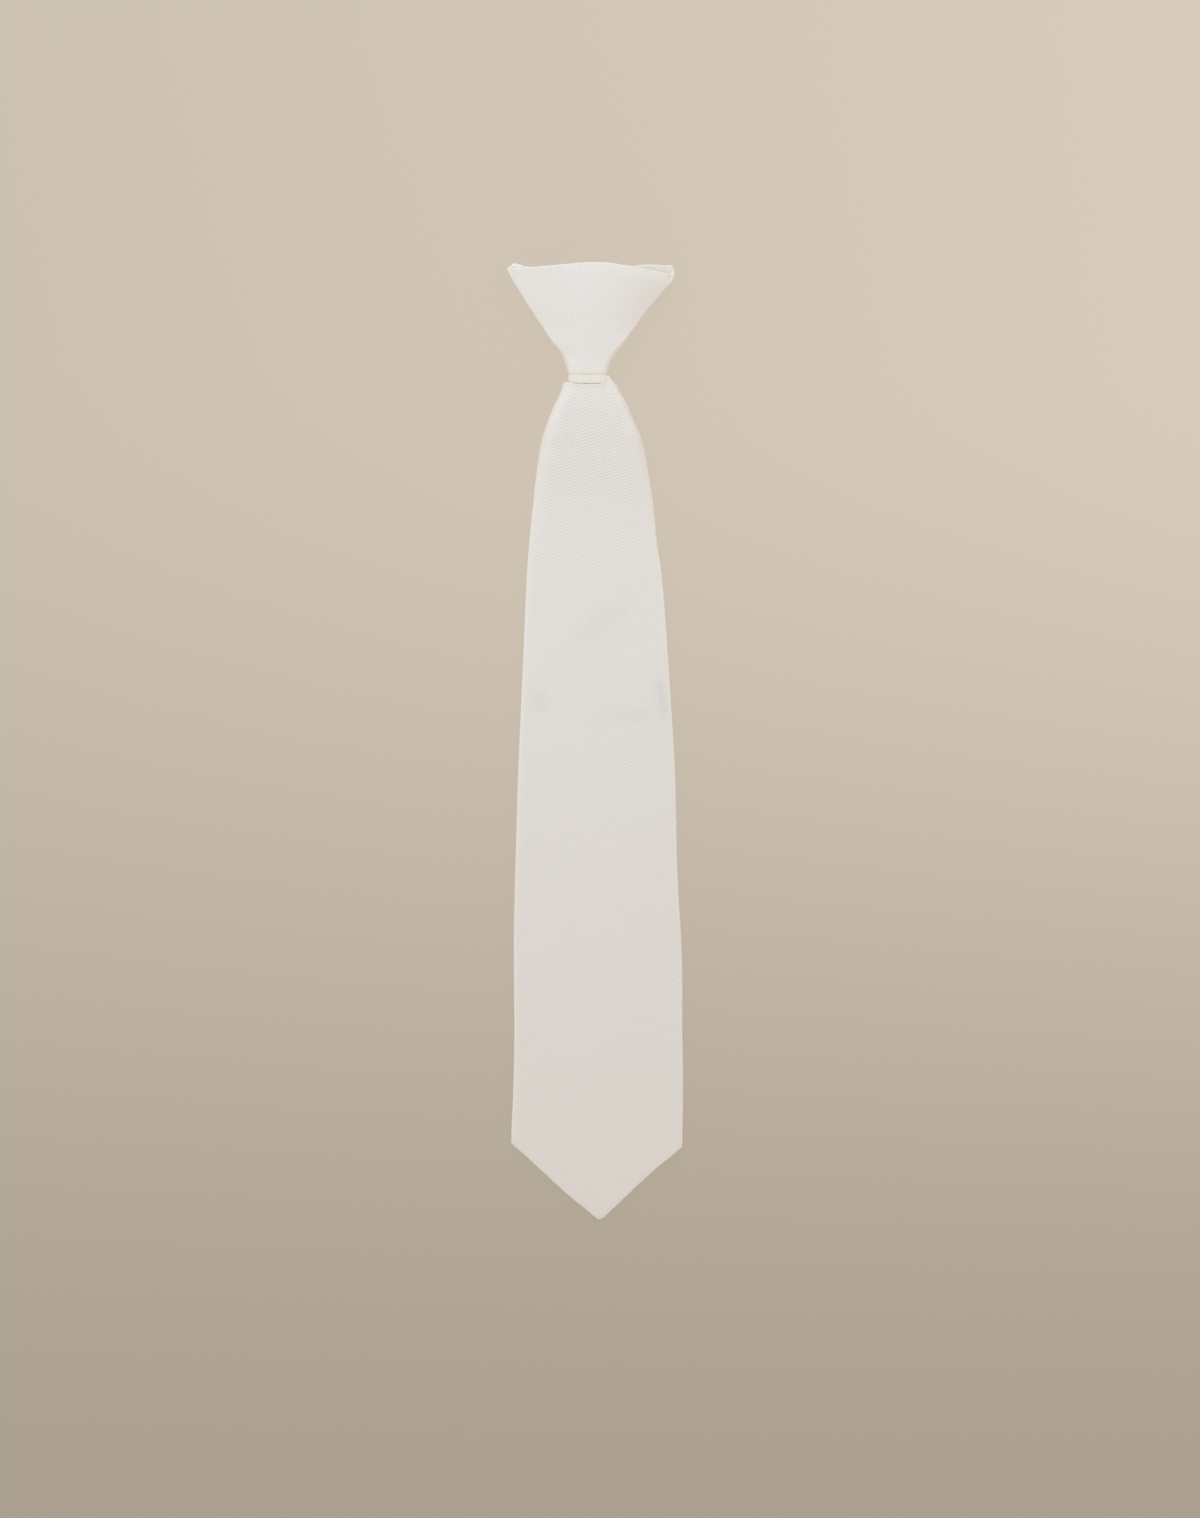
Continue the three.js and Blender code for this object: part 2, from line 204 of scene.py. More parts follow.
def setSurface(tree, shader, colour, look):
    # numbers that are the same all over go on the shader's own sockets
    tree.links.new(colour, shader.inputs["Base Color"])
    for key, socket in surfaceSockets.items():
        if key in look:
            shader.inputs[socket].default_value = look[key]


# Materials

surfaceSockets = {
    "roughness": "Roughness", "specular": "Specular IOR Level",
    "sheen": "Sheen Weight", "sheenRoughness": "Sheen Roughness",
}

# what each point of the cloth pieces carries for tieCloth: how clearly the nubs show, how much painted shade
# it gets in creases, and how much painted highlight along folds
clothMarks = ("clearness", "creaseShade", "foldHighlight")
ribbedCloth = {
    # the ribs' crest and valley colours: the valleys' darker colour is painted shade in the weave's hollows,
    # beside the real bump
    "crest": (0.862, 0.818, 0.769),
    "valley": (0.728, 0.678, 0.617),
    "warmPatch": (0.828, 0.778, 0.720),
    "paintedShade": (0.830, 0.745, 0.520),   # painted shade: darker and yellower in tight creases and in the gaps between pieces
    "paintedHighlight": (0.892, 0.850, 0.805),  # painted highlight: lighter along the pressed folds' edges, where light catches them
    "shadow": (0.56, 0.548, 0.535),        # and greyer in the blade's soft shadows
    # the three directions in which rows of nubs run: their slant in degrees and pitch, and the
    # share that each has in the look, where the cloth lies flat and where it goes round the knot
    "rows": [(17.8, 1.47), (76.6, 1.485), (-42.3, 1.50)],
    "shares": (0.67, 0.18, 0.15),
    "knotShares": (0.50, 0.29, 0.21),
    "narrowValleys": 0.62,
    "deepestValley": 0.1,
    "middleTone": 0.72,       # where the nubs fade, the cloth keeps this tone between valley and crest
    "wander": 0.36,           # how far the rows stray from straight lines
    "wanderSize": 7,
    "patchSize": 34,          # the nubs come and go a little, in wide patches and in small ones
    "patchShare": 0.8,
    "fleckSize": 5,
    "fleckShare": 1.2,
    "nubRange": (0.3, 1.5),
    "warmShare": 0.35,
    "yarns": [(47, 0.26), (-43, 0.27)],
    "yarnShare": 0.02,
    "yarnShade": 0.10,
    "reliefDepth": 0.085,
    "roughness": 0.85,
    "specular": 0.18,
    "sheen": 0.05,
    "sheenRoughness": 0.45,
}


# faint grey shadows on the blade's front: their middle, reach along and across, slant and strength
softShadows = table(
    "x y along across slant shade",
    (31.8, 20.3, 9.5, 2.6, 98, 0.28),
    (-26.4, 17.9, 6, 3.4, 100, 0.16),
    (3.4, 56.3, 17, 6, 39, 0.12),
    (17, 12.6, 17, 5, 5, 0.10),
)


def softShadow(tree, weave, spot):
    # the spot's strength in its middle, fading to nothing around it
    turn = math.radians(spot["slant"])
    away = vectorMaths(tree, "SUBTRACT", weave, (spot["x"] * mm, spot["y"] * mm, 0))
    squares = []
    for reach, way in ((spot["along"], turn), (spot["across"], turn + math.pi / 2)):
        size = 1 / (reach * mm)
        part = vectorMaths(tree, "DOT_PRODUCT", away, (math.cos(way) * size, math.sin(way) * size, 0))
        squares.append(maths(tree, "MULTIPLY", part, part))
    fading = maths(tree, "POWER", math.exp(-1), maths(tree, "ADD", *squares))
    return maths(tree, "MULTIPLY", fading, spot["shade"])


def rowWave(tree, place, slant, pitch):
    # -1 to 1 across rows that lie pitch millimetres apart and rise at slant degrees to the right
    turn = math.radians(slant + 90)
    size = 2 * math.pi / (pitch * mm)
    across = vectorMaths(tree, "DOT_PRODUCT", place, (math.cos(turn) * size, math.sin(turn) * size, 0))
    return maths(tree, "SINE", across)


def crossedWaves(tree, place, waves):
    first, second = (rowWave(tree, place, slant, pitch) for slant, pitch in waves)
    return maths(tree, "MAXIMUM", first, second)


def wandering(tree, place, reach, size):
    drift = noise(tree, place, size, 2.0, "Color")
    drift = vectorMaths(tree, "SUBTRACT", drift, (0.5, 0.5, 0.5))
    drift = vectorMaths(tree, "MULTIPLY", drift, (reach * mm, reach * mm, 0))
    return vectorMaths(tree, "ADD", place, drift)


def tieCloth(name, turn=0, shares="shares"):
    cloth = ribbedCloth
    material, tree, shader = newMaterial(name)
    weave = addNode(tree, "ShaderNodeUVMap", {"uv_map": "weave"}).outputs[0]
    clearness, creaseShade, foldHighlight = (
        addNode(tree, "ShaderNodeAttribute", {"attribute_name": key}).outputs["Fac"] for key in clothMarks
    )
    place = wandering(tree, weave, cloth["wander"], cloth["wanderSize"])
    nubs = 0.5
    for (slant, pitch), share in zip(cloth["rows"], cloth[shares]):
        nubs = maths(tree, "MULTIPLY_ADD", rowWave(tree, place, slant + turn, pitch), share / 2, nubs)
    nubs = maths(tree, "MAXIMUM", nubs, cloth["deepestValley"])
    nubs = maths(tree, "POWER", nubs, cloth["narrowValleys"])
    yarn = crossedWaves(tree, place, [(slant + turn, pitch) for slant, pitch in cloth["yarns"]])
    broad = noise(tree, weave, cloth["patchSize"], 3.0)
    small = noise(tree, weave, cloth["fleckSize"])
    strength = maths(tree, "MULTIPLY", small, cloth["fleckShare"])
    strength = maths(tree, "MULTIPLY_ADD", broad, cloth["patchShare"], strength)
    strength = maths(tree, "MULTIPLY", keptBetween(tree, strength, *cloth["nubRange"]), clearness)
    height = maths(tree, "MULTIPLY_ADD", yarn, cloth["yarnShare"], nubs)
    addBump(tree, shader, maths(tree, "MULTIPLY", height, strength), 1.0, cloth["reliefDepth"])
    middle = cloth["middleTone"]
    shade = maths(tree, "MULTIPLY_ADD", maths(tree, "SUBTRACT", nubs, middle), strength, middle)
    shade = keptBetween(tree, maths(tree, "MULTIPLY_ADD", yarn, cloth["yarnShade"], shade), 0.0, 1.0)
    # painted shade: the colour darkens towards the valley colour in the rib hollows and between the yarns
    colour = mixColours(tree, shade, rgba(cloth["valley"]), rgba(cloth["crest"]))
    warmth = maths(tree, "MULTIPLY", broad, cloth["warmShare"])
    colour = mixColours(tree, warmth, colour, rgba(cloth["warmPatch"]))
    for spot in softShadows if name == "bladeCloth" else ():
        colour = mixColours(tree, softShadow(tree, weave, spot), colour, rgba(cloth["shadow"]))
    # painted highlight along the folds' edges
    colour = mixColours(tree, foldHighlight, colour, rgba(cloth["paintedHighlight"]))
    # painted shade in creases and gaps
    colour = mixColours(tree, creaseShade, colour, rgba(cloth["paintedShade"]))
    setSurface(tree, shader, colour, cloth)
    return material


def facingCloth():
    look = {
        "light": (0.80, 0.765, 0.705), "dark": (0.70, 0.66, 0.60), "pitch": 0.34, "wander": 0.2,
        "wanderSize": 5, "cloudSize": 14, "cloudShare": 0.35, "relief": 0.6, "reliefDepth": 0.04,
        "roughness": 0.55, "sheen": 0.3,
    }
    material, tree, shader = newMaterial("facingCloth")
    weave = addNode(tree, "ShaderNodeUVMap", {"uv_map": "weave"}).outputs[0]
    place = wandering(tree, weave, look["wander"], look["wanderSize"])
    threads = crossedWaves(tree, place, [(0, look["pitch"]), (90, look["pitch"])])
    threads = maths(tree, "MULTIPLY_ADD", threads, 0.5, 0.5)
    cloud = maths(tree, "MULTIPLY", noise(tree, weave, look["cloudSize"], 3.0), look["cloudShare"])
    colour = mixColours(tree, threads, rgba(look["dark"]), rgba(look["light"]))
    colour = mixColours(tree, cloud, colour, rgba(look["dark"]))
    addBump(tree, shader, threads, look["relief"], look["reliefDepth"])
    setSurface(tree, shader, colour, look)
    return material


def claspPlastic():
    look = {
        "light": (0.80, 0.785, 0.75), "dark": (0.74, 0.725, 0.69), "roughBetween": (0.36, 0.50),
        "cloudSize": 4.5, "grainSize": 0.31, "relief": 0.15, "reliefDepth": 0.03,
    }
    material, tree, shader = newMaterial("claspPlastic")
    place = addNode(tree, "ShaderNodeTexCoord").outputs["Object"]
    cloud = noise(tree, place, look["cloudSize"], 3.0)
    colour = mixColours(tree, cloud, rgba(look["dark"]), rgba(look["light"]))
    addBump(tree, shader, noise(tree, place, look["grainSize"]), look["relief"], look["reliefDepth"])
    setSurface(tree, shader, colour, look)
    tree.links.new(mapRange(tree, cloud, look["roughBetween"]), shader.inputs["Roughness"])
    return material


def sewingThread():
    look = {
        "light": (0.78, 0.745, 0.69), "dark": (0.56, 0.52, 0.47), "plySlant": 35, "plyPitch": 0.5,
        "roughness": 0.6,
    }
    material, tree, shader = newMaterial("sewingThread")
    place = addNode(tree, "ShaderNodeTexCoord").outputs["Object"]
    ply = rowWave(tree, place, look["plySlant"], look["plyPitch"])
    ply = maths(tree, "MULTIPLY_ADD", ply, 0.5, 0.5)
    colour = mixColours(tree, ply, rgba(look["dark"]), rgba(look["light"]))
    setSurface(tree, shader, colour, look)
    return material


def floorPaper():
    # pale paper that is lit evenly from behind, so only a faint shadow falls on it; its colour is painted
    # lighter towards the top and the right, as light falls off
    material, tree, shader = newMaterial("floorPaper")
    place = addNode(tree, "ShaderNodeTexCoord").outputs["Object"]
    spot = addNode(tree, "ShaderNodeSeparateXYZ", Vector=place)
    upTo = (studio["gradientFrom"] * mm, studio["gradientTo"] * mm)
    fade = mapRange(tree, spot.outputs["Y"], (0, 1), upTo, "SMOOTHSTEP")
    colour = mixColours(tree, fade, rgba(studio["floorBottom"]), rgba(studio["floorTop"]))
    half = photo["width"] * photo["mmPerPixel"] / 2 * mm
    lighter = studio["rightLighter"] / 2
    side = mapRange(tree, spot.outputs["X"], (-lighter, lighter), (-half, half))
    lit = scaled(tree, colour, maths(tree, "MULTIPLY_ADD", side, fade, 1.0))
    tree.links.new(lit, shader.inputs["Emission Color"])
    shader.inputs["Emission Strength"].default_value = studio["floorGlow"]
    dim = scaled(tree, lit, 1 - studio["floorGlow"])
    setSurface(tree, shader, dim, {"roughness": 0.95, "specular": 0.0})
    material.cycles.emission_sampling = "NONE"
    return material


# Shape helpers

def smooth(t):
    c = np.clip(t, 0, 1)
    return c * c * (3 - 2 * c)


def blendNumbers(a, b, t):
    return a + (b - a) * t


def bell(distance, width):
    return np.exp(-(distance / width) ** 2)


def squarer(part, boxiness):
    # turns a circle's sine or cosine into that of a rounded square
    return np.sign(part) * np.abs(part) ** (2 / boxiness)


def column(rows, name, at, along="y"):
    # a smooth curve through one column of a table that never overshoots its rows
    x = np.array([row[along] for row in rows], float)
    v = np.array([row.get(name, 0) for row in rows], float)
    step = np.diff(x)
    slope = np.diff(v) / step
    tangent = np.zeros(len(x))
    for k in range(1, len(x) - 1):
        if slope[k - 1] * slope[k] > 0:
            a = 2 * step[k] + step[k - 1]
            b = step[k] + 2 * step[k - 1]
            tangent[k] = (a + b) / (a / slope[k - 1] + b / slope[k])
    tangent[0] = slope[0]
    tangent[-1] = slope[-1]
    at = np.clip(at, x[0], x[-1])
    k = np.clip(np.searchsorted(x, at) - 1, 0, len(step) - 1)
    t = (at - x[k]) / step[k]
    rise = step[k] * ((t ** 3 - 2 * t ** 2 + t) * tangent[k] + (t ** 3 - t ** 2) * tangent[k + 1])
    return v[k] * (2 * t ** 3 - 3 * t ** 2 + 1) + v[k + 1] * (3 * t ** 2 - 2 * t ** 3) + rise


def unevenness(x, y, size, seed):
    # a gentle rolling surface between -1 and 1, the same each run
    waves = 5
    picker = np.random.default_rng(seed)
    total = np.zeros(np.broadcast(x, y).shape)
    for turn, stretch, phase in picker.random((waves, 3)):
        a = turn * 2 * math.pi
        period = size * (0.7 + 0.8 * stretch)
        total = total + np.sin((x * math.cos(a) + y * math.sin(a)) * 2 * math.pi / period + phase * 6.28)
    return total / waves


def gridObject(name, points, weave, material, capPairs=(), marks=()):
    # points is rows by columns by 3 in millimetres, and its columns close round, so weave has one more.
    # Its rows close round too, with one more row of weave, unless pairs of columns cap its two ends.
    rows, columns = points.shape[:2]
    i = np.arange(rows - 1 if capPairs else rows)[:, None]
    j = np.arange(columns)[None, :]
    corners = [(i, j), (i, j + 1), (i + 1, j + 1), (i + 1, j)]
    faces = np.stack([(a % rows) * columns + (b % columns) for a, b in corners], -1).reshape(-1, 4).tolist()
    loops = np.stack([weave[a + 0 * b, b + 0 * a] for a, b in corners], 2).reshape(-1, 2).tolist()
    for row, flip in ((0, True), (rows - 1, False)):
        for a, b in zip(capPairs[:-1], capPairs[1:]):
            quad = list(dict.fromkeys(row * columns + k for k in (a[0], b[0], b[1], a[1])))
            quad = quad[::-1] if flip else quad
            faces.append(quad)
            loops.extend(weave[row, q - row * columns].tolist() for q in quad)
    mesh = bpy.data.meshes.new(name)
    mesh.from_pydata((points.reshape(-1, 3) * mm).tolist(), [], faces)
    layer = mesh.uv_layers.new(name="weave")
    layer.data.foreach_set("uv", (np.array(loops) * mm).ravel())
    for key, values in zip(clothMarks, marks):
        layer = mesh.attributes.new(key, "FLOAT", "POINT")
        layer.data.foreach_set("value", np.ascontiguousarray(values, float).ravel())
    mesh.validate()
    if signedVolume(mesh) < 0:
        mesh.flip_normals()
    mesh.polygons.foreach_set("use_smooth", [True] * len(mesh.polygons))
    mesh.update()
    mesh.materials.append(material)
    made = bpy.data.objects.new(name, mesh)
    bpy.context.scene.collection.objects.link(made)
    return made


def signedVolume(mesh):
    mesh.calc_loop_triangles()
    points = np.array([v.co for v in mesh.vertices])
    triangles = np.array([t.vertices for t in mesh.loop_triangles])
    a, b, c = (points[triangles[:, k]] for k in range(3))
    return float(np.einsum("ij,ij->i", a, np.cross(b, c)).sum() / 6)


def roundedEdge(outer, inner, direction, steps=3, fullness=1.0):
    # rows of points that round over from an outer edge to the inner edge beside it
    middle = (outer + inner) / 2
    half = (outer - inner) / 2
    size = np.linalg.norm(half, axis=-1, keepdims=True)
    unit = direction / np.maximum(np.linalg.norm(direction, axis=-1, keepdims=True), 1e-9)
    turned = []
    for k in range(1, steps + 1):
        turn = math.pi * k / (steps + 1)
        turned.append(middle + half * math.cos(turn) + unit * size * fullness * math.sin(turn))
    return np.array(turned)


def thickSheet(name, outer, inner, weave, material, marks=()):
    # one closed body: outer face, rounded edge, inner face, rounded edge
    steps = 3
    lastEdge = roundedEdge(outer[:, -1], inner[:, -1], outer[:, -1] - outer[:, -3], steps)
    firstEdge = roundedEdge(inner[:, 0], outer[:, 0], outer[:, 0] - outer[:, 2], steps)
    ring = np.concatenate([outer, np.stack(lastEdge, 1), inner[:, ::-1], np.stack(firstEdge, 1)], 1)
    count = outer.shape[1]
    places = [*range(count)] + [count - 1] * steps + [*range(count)][::-1] + [0] * (steps + 1)
    total = ring.shape[1]
    pairs = [(k, 2 * count + steps - 1 - k) for k in range(count)]
    # the rounded edges are closed at the ends by pairing their points too
    right = [(count + k, count + steps - 1 - k) for k in range(steps // 2 + 1)]
    left = [(total - 1 - k, 2 * count + steps + k) for k in range(steps // 2 + 1)]
    marks = [values[:, places[:-1]] for values in marks]
    return gridObject(name, ring, weave[:, places], material, left[::-1] + pairs + right, marks)


def evenWeave(points, wide=1.0, tall=1.0):
    # the same width and height of weave for each face, where the material needs no real lengths
    rows, columns = points.shape[:2]
    weave = np.zeros((rows, columns + 1, 2))
    weave[:, :, 0] = np.arange(columns + 1)[None] * wide
    weave[:, :, 1] = np.arange(rows)[:, None] * tall
    return weave


def oppositePairs(count):
    return [(k, count - 1 - k) for k in range(count // 2)]


# The blade, folded from one piece of cloth: front panel, side folds and two back flaps

blade = {
    "cloth": 1.0,
    "thickness": 3.6,
    "seam": 0.4,
    "seamEnd": -118,
    "hem": 9.1,
    "tipY": -228.5,
    "cornerY": -192.2,
    "endY": 182.0,
    "pointNubs": 0.17,      # small threads that stand out along the point's left edge
    "pointNubSize": 3.4,
    "unevenness": 0.20,
    "waveSize": 70,         # the size of the front's wide waves, and of its small ones
    "rippleSize": 17,
    "rippleShare": 0.4,
    "stripLeft": 2.5,       # the flat strips pressed along the side folds
    "stripRight": 1.3,
    "stripPoint": 1.1,
    "stripNarrowing": 0.6,  # the share of their width that they lose towards the neck
    "stripNarrowFrom": 95,
    "stripSlope": 0.30,
    "stripLine": 0.12,
    "stripLineWidth": 0.30,
    "gathersFrom": 140,
    "gathersReach": 26,
    "neckGathers": 0.10,
    "gatherFan": 15,        # how closely the gathers stand
    "neckRidge": 0.25,
    "neckRidgeY": 169.15,
    "waistHeight": 9.0,
    "lean": 0.06,           # how far the shoulders lean in against the band
    "flapLift": 0.16,       # the flaps lie on the floor, so they only lift here and there
    "flapLiftSize": 45,
    "boxiness": 2.5,        # the side folds are a little squarer than half circles
}
# where the blade's weave is clear, and where shade and highlight are painted on it
bladeLook = {
    "rolledSmooth": 0.6,    # share of the ribs that is lost where the sides roll over
    "stripSmooth": 0.8,     # and in the pressed strips
    "foldStrip": 0.7,       # the fold beside a strip counts as this much of one
    "stripFade": 0.9,
    "shadeLineY": 169.55,     # where the painted shade line under the band begins, and how far right it goes
    "shadeLineRight": 5.5,
    "shadeLineFade": 0.35,
    "crestX": -9.5,         # on the left it runs on over the shoulder's crest
    "crestDrop": 0.15,
    # a painted highlight along the folds' edges, fading out towards the neck
    "highlightReach": 1.1,
    "highlightTop": 170.0,
}
pointRows = table(
    "y left right",
    (-228.5, 1.6, 2.5),
    (-228.4, 1.3, 2.8),
    (-228.2, 0.9, 3.2),
    (-227.9, 0.45, 3.65),
    (-226.8, -1.1, 5.1),
    (-224.2, -4.1, 7.7),
    (-220.4, -8.85, 11.8),
    (-214.6, -15.7, 17.85),
    (-208.9, -21.9, 23.95),
    (-203.2, -28.05, 30.3),
    (-198.4, -33.2, 36.4),
    (-194.1, -38.1, 41.3),
    (-192.2, -40.15, 41.6),
)
bladeRows = table(
    "y left right roll curl lift raised",
    (-192.2, -40.15, 41.6, 10),
    (-186, -40.05, 41.65, 10),
    (-174, -39.5, 41.9, 10),
    (-162, -39.05, 41.95, 10),
    (-137, -38.7, 41.6, 10),
    (-116, -38.9, 41.6, 10),
    (-95.3, -38.95, 41.05, 10),
    (-76.2, -38.6, 39.9, 10),
    (-57.1, -38.1, 39.05, 10),
    (-18.9, -37, 38.25, 10),
    (19.3, -35.35, 36.1, 10),
    (48, -34.05, 34.25, 10),
    (66, -33.4, 33, 9.9, 3),
    (81, -32.85, 31.75, 9.7, 9),
    (95.7, -31.85, 29.75, 9.6, 18),
    (105.5, -31.1, 29, 9.6, 28, 0.03),
    (114.8, -30.25, 28.05, 9.8, 40, 0.26),
    (124.4, -29.25, 26.65, 10.2, 56, 1.2),
    (133.9, -27.85, 24.75, 11.2, 76, 2.42),
    (143.5, -25.65, 22.35, 12.8, 99, 3.08),
    (150, -23.6, 19.7, 14.2, 116, 2.82),
    (155.5, -21.5, 17.3, 15.5, 130, 2.58),
    (160.5, -19.3, 15.2, 16.6, 144, 2.5, 0.1),
    (164.5, -17.2, 13, 17.4, 156, 2.58, 0.4),
    (167.6, -15.9, 11.1, 18.2, 166, 2.68, 0.8),
    (169.65, -15.3, 9.5, 18.9, 176, 2.9, 1),
    (169.8, -15.0, 9.0, 18.9, 178, 2.95, 0.97),
    (169.95, -13.9, 7.2, 19.0, 184, 3.1, 0.8),
    (170.15, -11.7, 3.8, 19.4, 196, 3.4, 0.6),
    (170.45, -11.7, 3.8, 19.4, 196, 3.4),
    (177, -11.7, 3.8, 19.2, 196, 3.4),
    (182, -11.2, 4.1, 18.9, 196, 3.8),
)
# how far the gathered shoulders stand up beside the band
shoulders = table(
    "x rise",
    (-19, 0),
    (-15.6, 0.4),
    (-15.2, 0.75),
    (-14.4, 1.0),
    (-13.3, 1.15),
    (-12.4, 1.13),
    (-11, 0.91),
    (-9.7, 0.74),
    (-7.5, 0.53),
    (-5.4, 0.45),
    (2.2, 0.45),
    (3.7, 0.8),
    (4.4, 1.6),
    (5.0, 2.75),
    (5.5, 3.85),
    (5.85, 4.65),
    (6.1, 4.9),
    (6.35, 4.75),
    (6.6, 4.3),
    (7.25, 3.3),
    (7.9, 2.4),
    (8.65, 1.5),
    (9.5, 0.7),
    (11, 0.2),
    (13, 0),
)
pleatLine = table(
    "y x depth",
    (139, 17.5, 0),
    (148, 14.8, 0.15),
    (156.5, 11.6, 0.45),
    (163, 9.4, 0.48),
    (170, 7.6, 0.25),
)
pleat = {"width": 0.9, "step": 0.5, "stepWidth": 1.4, "stepReach": 4}
softDents = table(
    "x y wide tall depth",
    (31.4, 24.6, 5, 9, 0.40),
    (-26.9, 17.9, 5, 8, 0.30),
    (32.8, -187.9, 1.6, 0.9, 0.14),
    (-31.6, -184.6, 1.6, 0.9, 0.14),
)
# how clearly the weave shows along the blade
clearRows = table(
    "y clear",
    (-228.5, 0.34),
    (-190, 0.44),
    (-150, 0.66),
    (-75, 0.82),
    (0, 0.76),
    (60, 0.80),
    (110, 1.14),
    (150, 1.32),
    (170, 0.8),
    (182, 0.3),
)
bladeSteps = {"flap": 24, "fold": 12, "front": 42}
# the sections across the blade: how many there are from each height to the next
bladeLevels = [
    (-228.5, -227.9, 4), (-227.9, -224.2, 6), (-224.2, -194.1, 32), (-194.1, -192.2, 3),
    (-192.2, -186, 7), (-186, 92, 104), (92, 150, 38), (150, 168.05, 26), (168.05, 169.65, 7),
    (169.65, 170.45, 10), (170.45, 182, 8),
]


def sideOf(name, y):
    # straight from row to row below the corners, so that they stay crisp
    if y < blade["cornerY"]:
        return float(np.interp(y, [row["y"] for row in pointRows], [row[name] for row in pointRows]))
    return float(column(bladeRows, name, y))


def bladeSectionAt(y):
    # the numbers that describe one section across the blade
    row = {"y": y, "thickness": blade["thickness"], "cloth": blade["cloth"], "full": 1.0}
    step = 0.4
    for name in ("curl", "roll", "lift", "raised"):
        row[name] = float(column(bladeRows, name, y))
    for name in ("left", "right"):
        row[name] = sideOf(name, y)
        row[name + "Slope"] = (sideOf(name, y + step) - sideOf(name, y - step)) / (2 * step)
    row["inPoint"] = float(smooth((blade["cornerY"] + 1 - y) / 3))
    if y < blade["cornerY"]:
        size = blade["pointNubSize"]
        threads = unevenness(y, 0, size, 61) + 0.7 * unevenness(y, 0, size / 2, 62)
        row["left"] += blade["pointNubs"] * threads * min(1, (y - blade["tipY"]) / 3)
    half = (row["right"] - row["left"]) / 2
    if y < blade["cornerY"]:
        row["full"] = min(1.0, half / 2)
        row["thickness"] *= row["full"]
        row["cloth"] *= row["full"]
        row["roll"] = min(row["roll"], half)
        row["lift"] = (blade["thickness"] - row["thickness"]) / 2
        row["flapEnd"] = max(half - blade["hem"], blade["seam"] / 2 * row["full"])
    else:
        opened = max(0.0, (blade["seamEnd"] - y) / (blade["seamEnd"] - blade["cornerY"]))
        row["flapEnd"] = blendNumbers(blade["seam"] / 2, half - blade["hem"], opened)
    row["half"] = half
    row["middle"] = (row["left"] + row["right"]) / 2
    angle = math.radians(max(row["curl"], 0.01))
    row["radius"] = row["roll"] / angle
    row["flat"] = row["half"] - row["radius"] * math.sin(min(angle, math.pi / 2))
    row["edge"] = row["flat"] + row["roll"]
    drop = row["radius"] * (1 - math.cos(min(angle, math.pi)))
    row["top"] = drop + row["thickness"] * max(math.cos(angle), 0)
    return row


def sideSlope(row, side):
    return row["leftSlope"] if side < 0 else row["rightSlope"]


def edgeDistance(row, side, along):
    # how far a point lies from the side's folded edge, straight in from it
    return (row["edge"] - along) / math.hypot(1, sideSlope(row, side))


def stripWidth(row, side):
    beside = blade["stripLeft"] if side < 0 else blade["stripRight"]
    width = blendNumbers(beside, blade["stripPoint"], row["inPoint"])
    nearNeck = float(smooth((row["y"] - blade["stripNarrowFrom"]) / 50))
    return width * (1 - blade["stripNarrowing"] * nearNeck)


def frontRelief(x, along, row, side):
    # how far the front face stands out of its plain shape, in millimetres
    y = row["y"]
    relief = blade["unevenness"] * unevenness(x, y, blade["waveSize"], 3)
    relief += blade["rippleShare"] * blade["unevenness"] * unevenness(x, y, blade["rippleSize"], 5)
    fromEdge = edgeDistance(row, side, along)
    width = stripWidth(row, side)
    relief -= blade["stripSlope"] * smooth(1 - fromEdge / width) * min(1, width / 2)
    relief -= blade["stripLine"] * bell(fromEdge - width, blade["stripLineWidth"])
    for dent in softDents:
        away = ((x - dent["x"]) / dent["wide"]) ** 2 + ((y - dent["y"]) / dent["tall"]) ** 2
        relief -= dent["depth"] * np.exp(-away)
    gathered = float(smooth((y - blade["gathersFrom"]) / blade["gathersReach"]))
    fan = (x - row["middle"]) / row["half"]
    relief += blade["neckGathers"] * gathered * np.sin(fan * blade["gatherFan"] + 0.8 * math.sin(y / 9))
    relief += blade["neckRidge"] * bell(y - blade["neckRidgeY"], 0.8)
    if y > pleatLine[0]["y"]:
        # a groove, with the cloth to its right a little lower
        away = x - float(column(pleatLine, "x", y))
        depth = float(column(pleatLine, "depth", y))
        reach = pleat["stepReach"]
        lower = smooth(away / pleat["stepWidth"] + 0.5) * (1 - smooth((away - reach) / reach))
        relief -= depth * bell(away, pleat["width"])
        relief -= pleat["step"] * depth * lower
    # the relief dies out where the section is too narrow for it
    return relief * min(1.0, row["half"] / 9)


def flatCloth(row, side, along, turn, flapCount):
    # where each point of half a section lies on the flat cloth; flaps are mirrored over their fold
    slope = sideSlope(row, side)
    size = math.hypot(1, slope)
    nose = row["thickness"] / 2
    x = row["middle"] + side * along
    y = np.full(len(along), row["y"])
    reach = 2 * (row["edge"] - along) / size + (math.pi - 2) * nose
    part = np.zeros(len(along))
    part[:flapCount] = 1
    wrapped = row["edge"] - nose + nose * (math.pi - turn)
    x[flapCount:flapCount + len(turn)] = row["middle"] + side * wrapped
    x = x + part * reach * side / size
    y = y - part * reach * side * slope / size
    lastFlapY = y[flapCount - 1]
    y[flapCount:flapCount + len(turn)] = blendNumbers(lastFlapY, row["y"], turn / math.pi)
    return np.stack([x, y], -1)


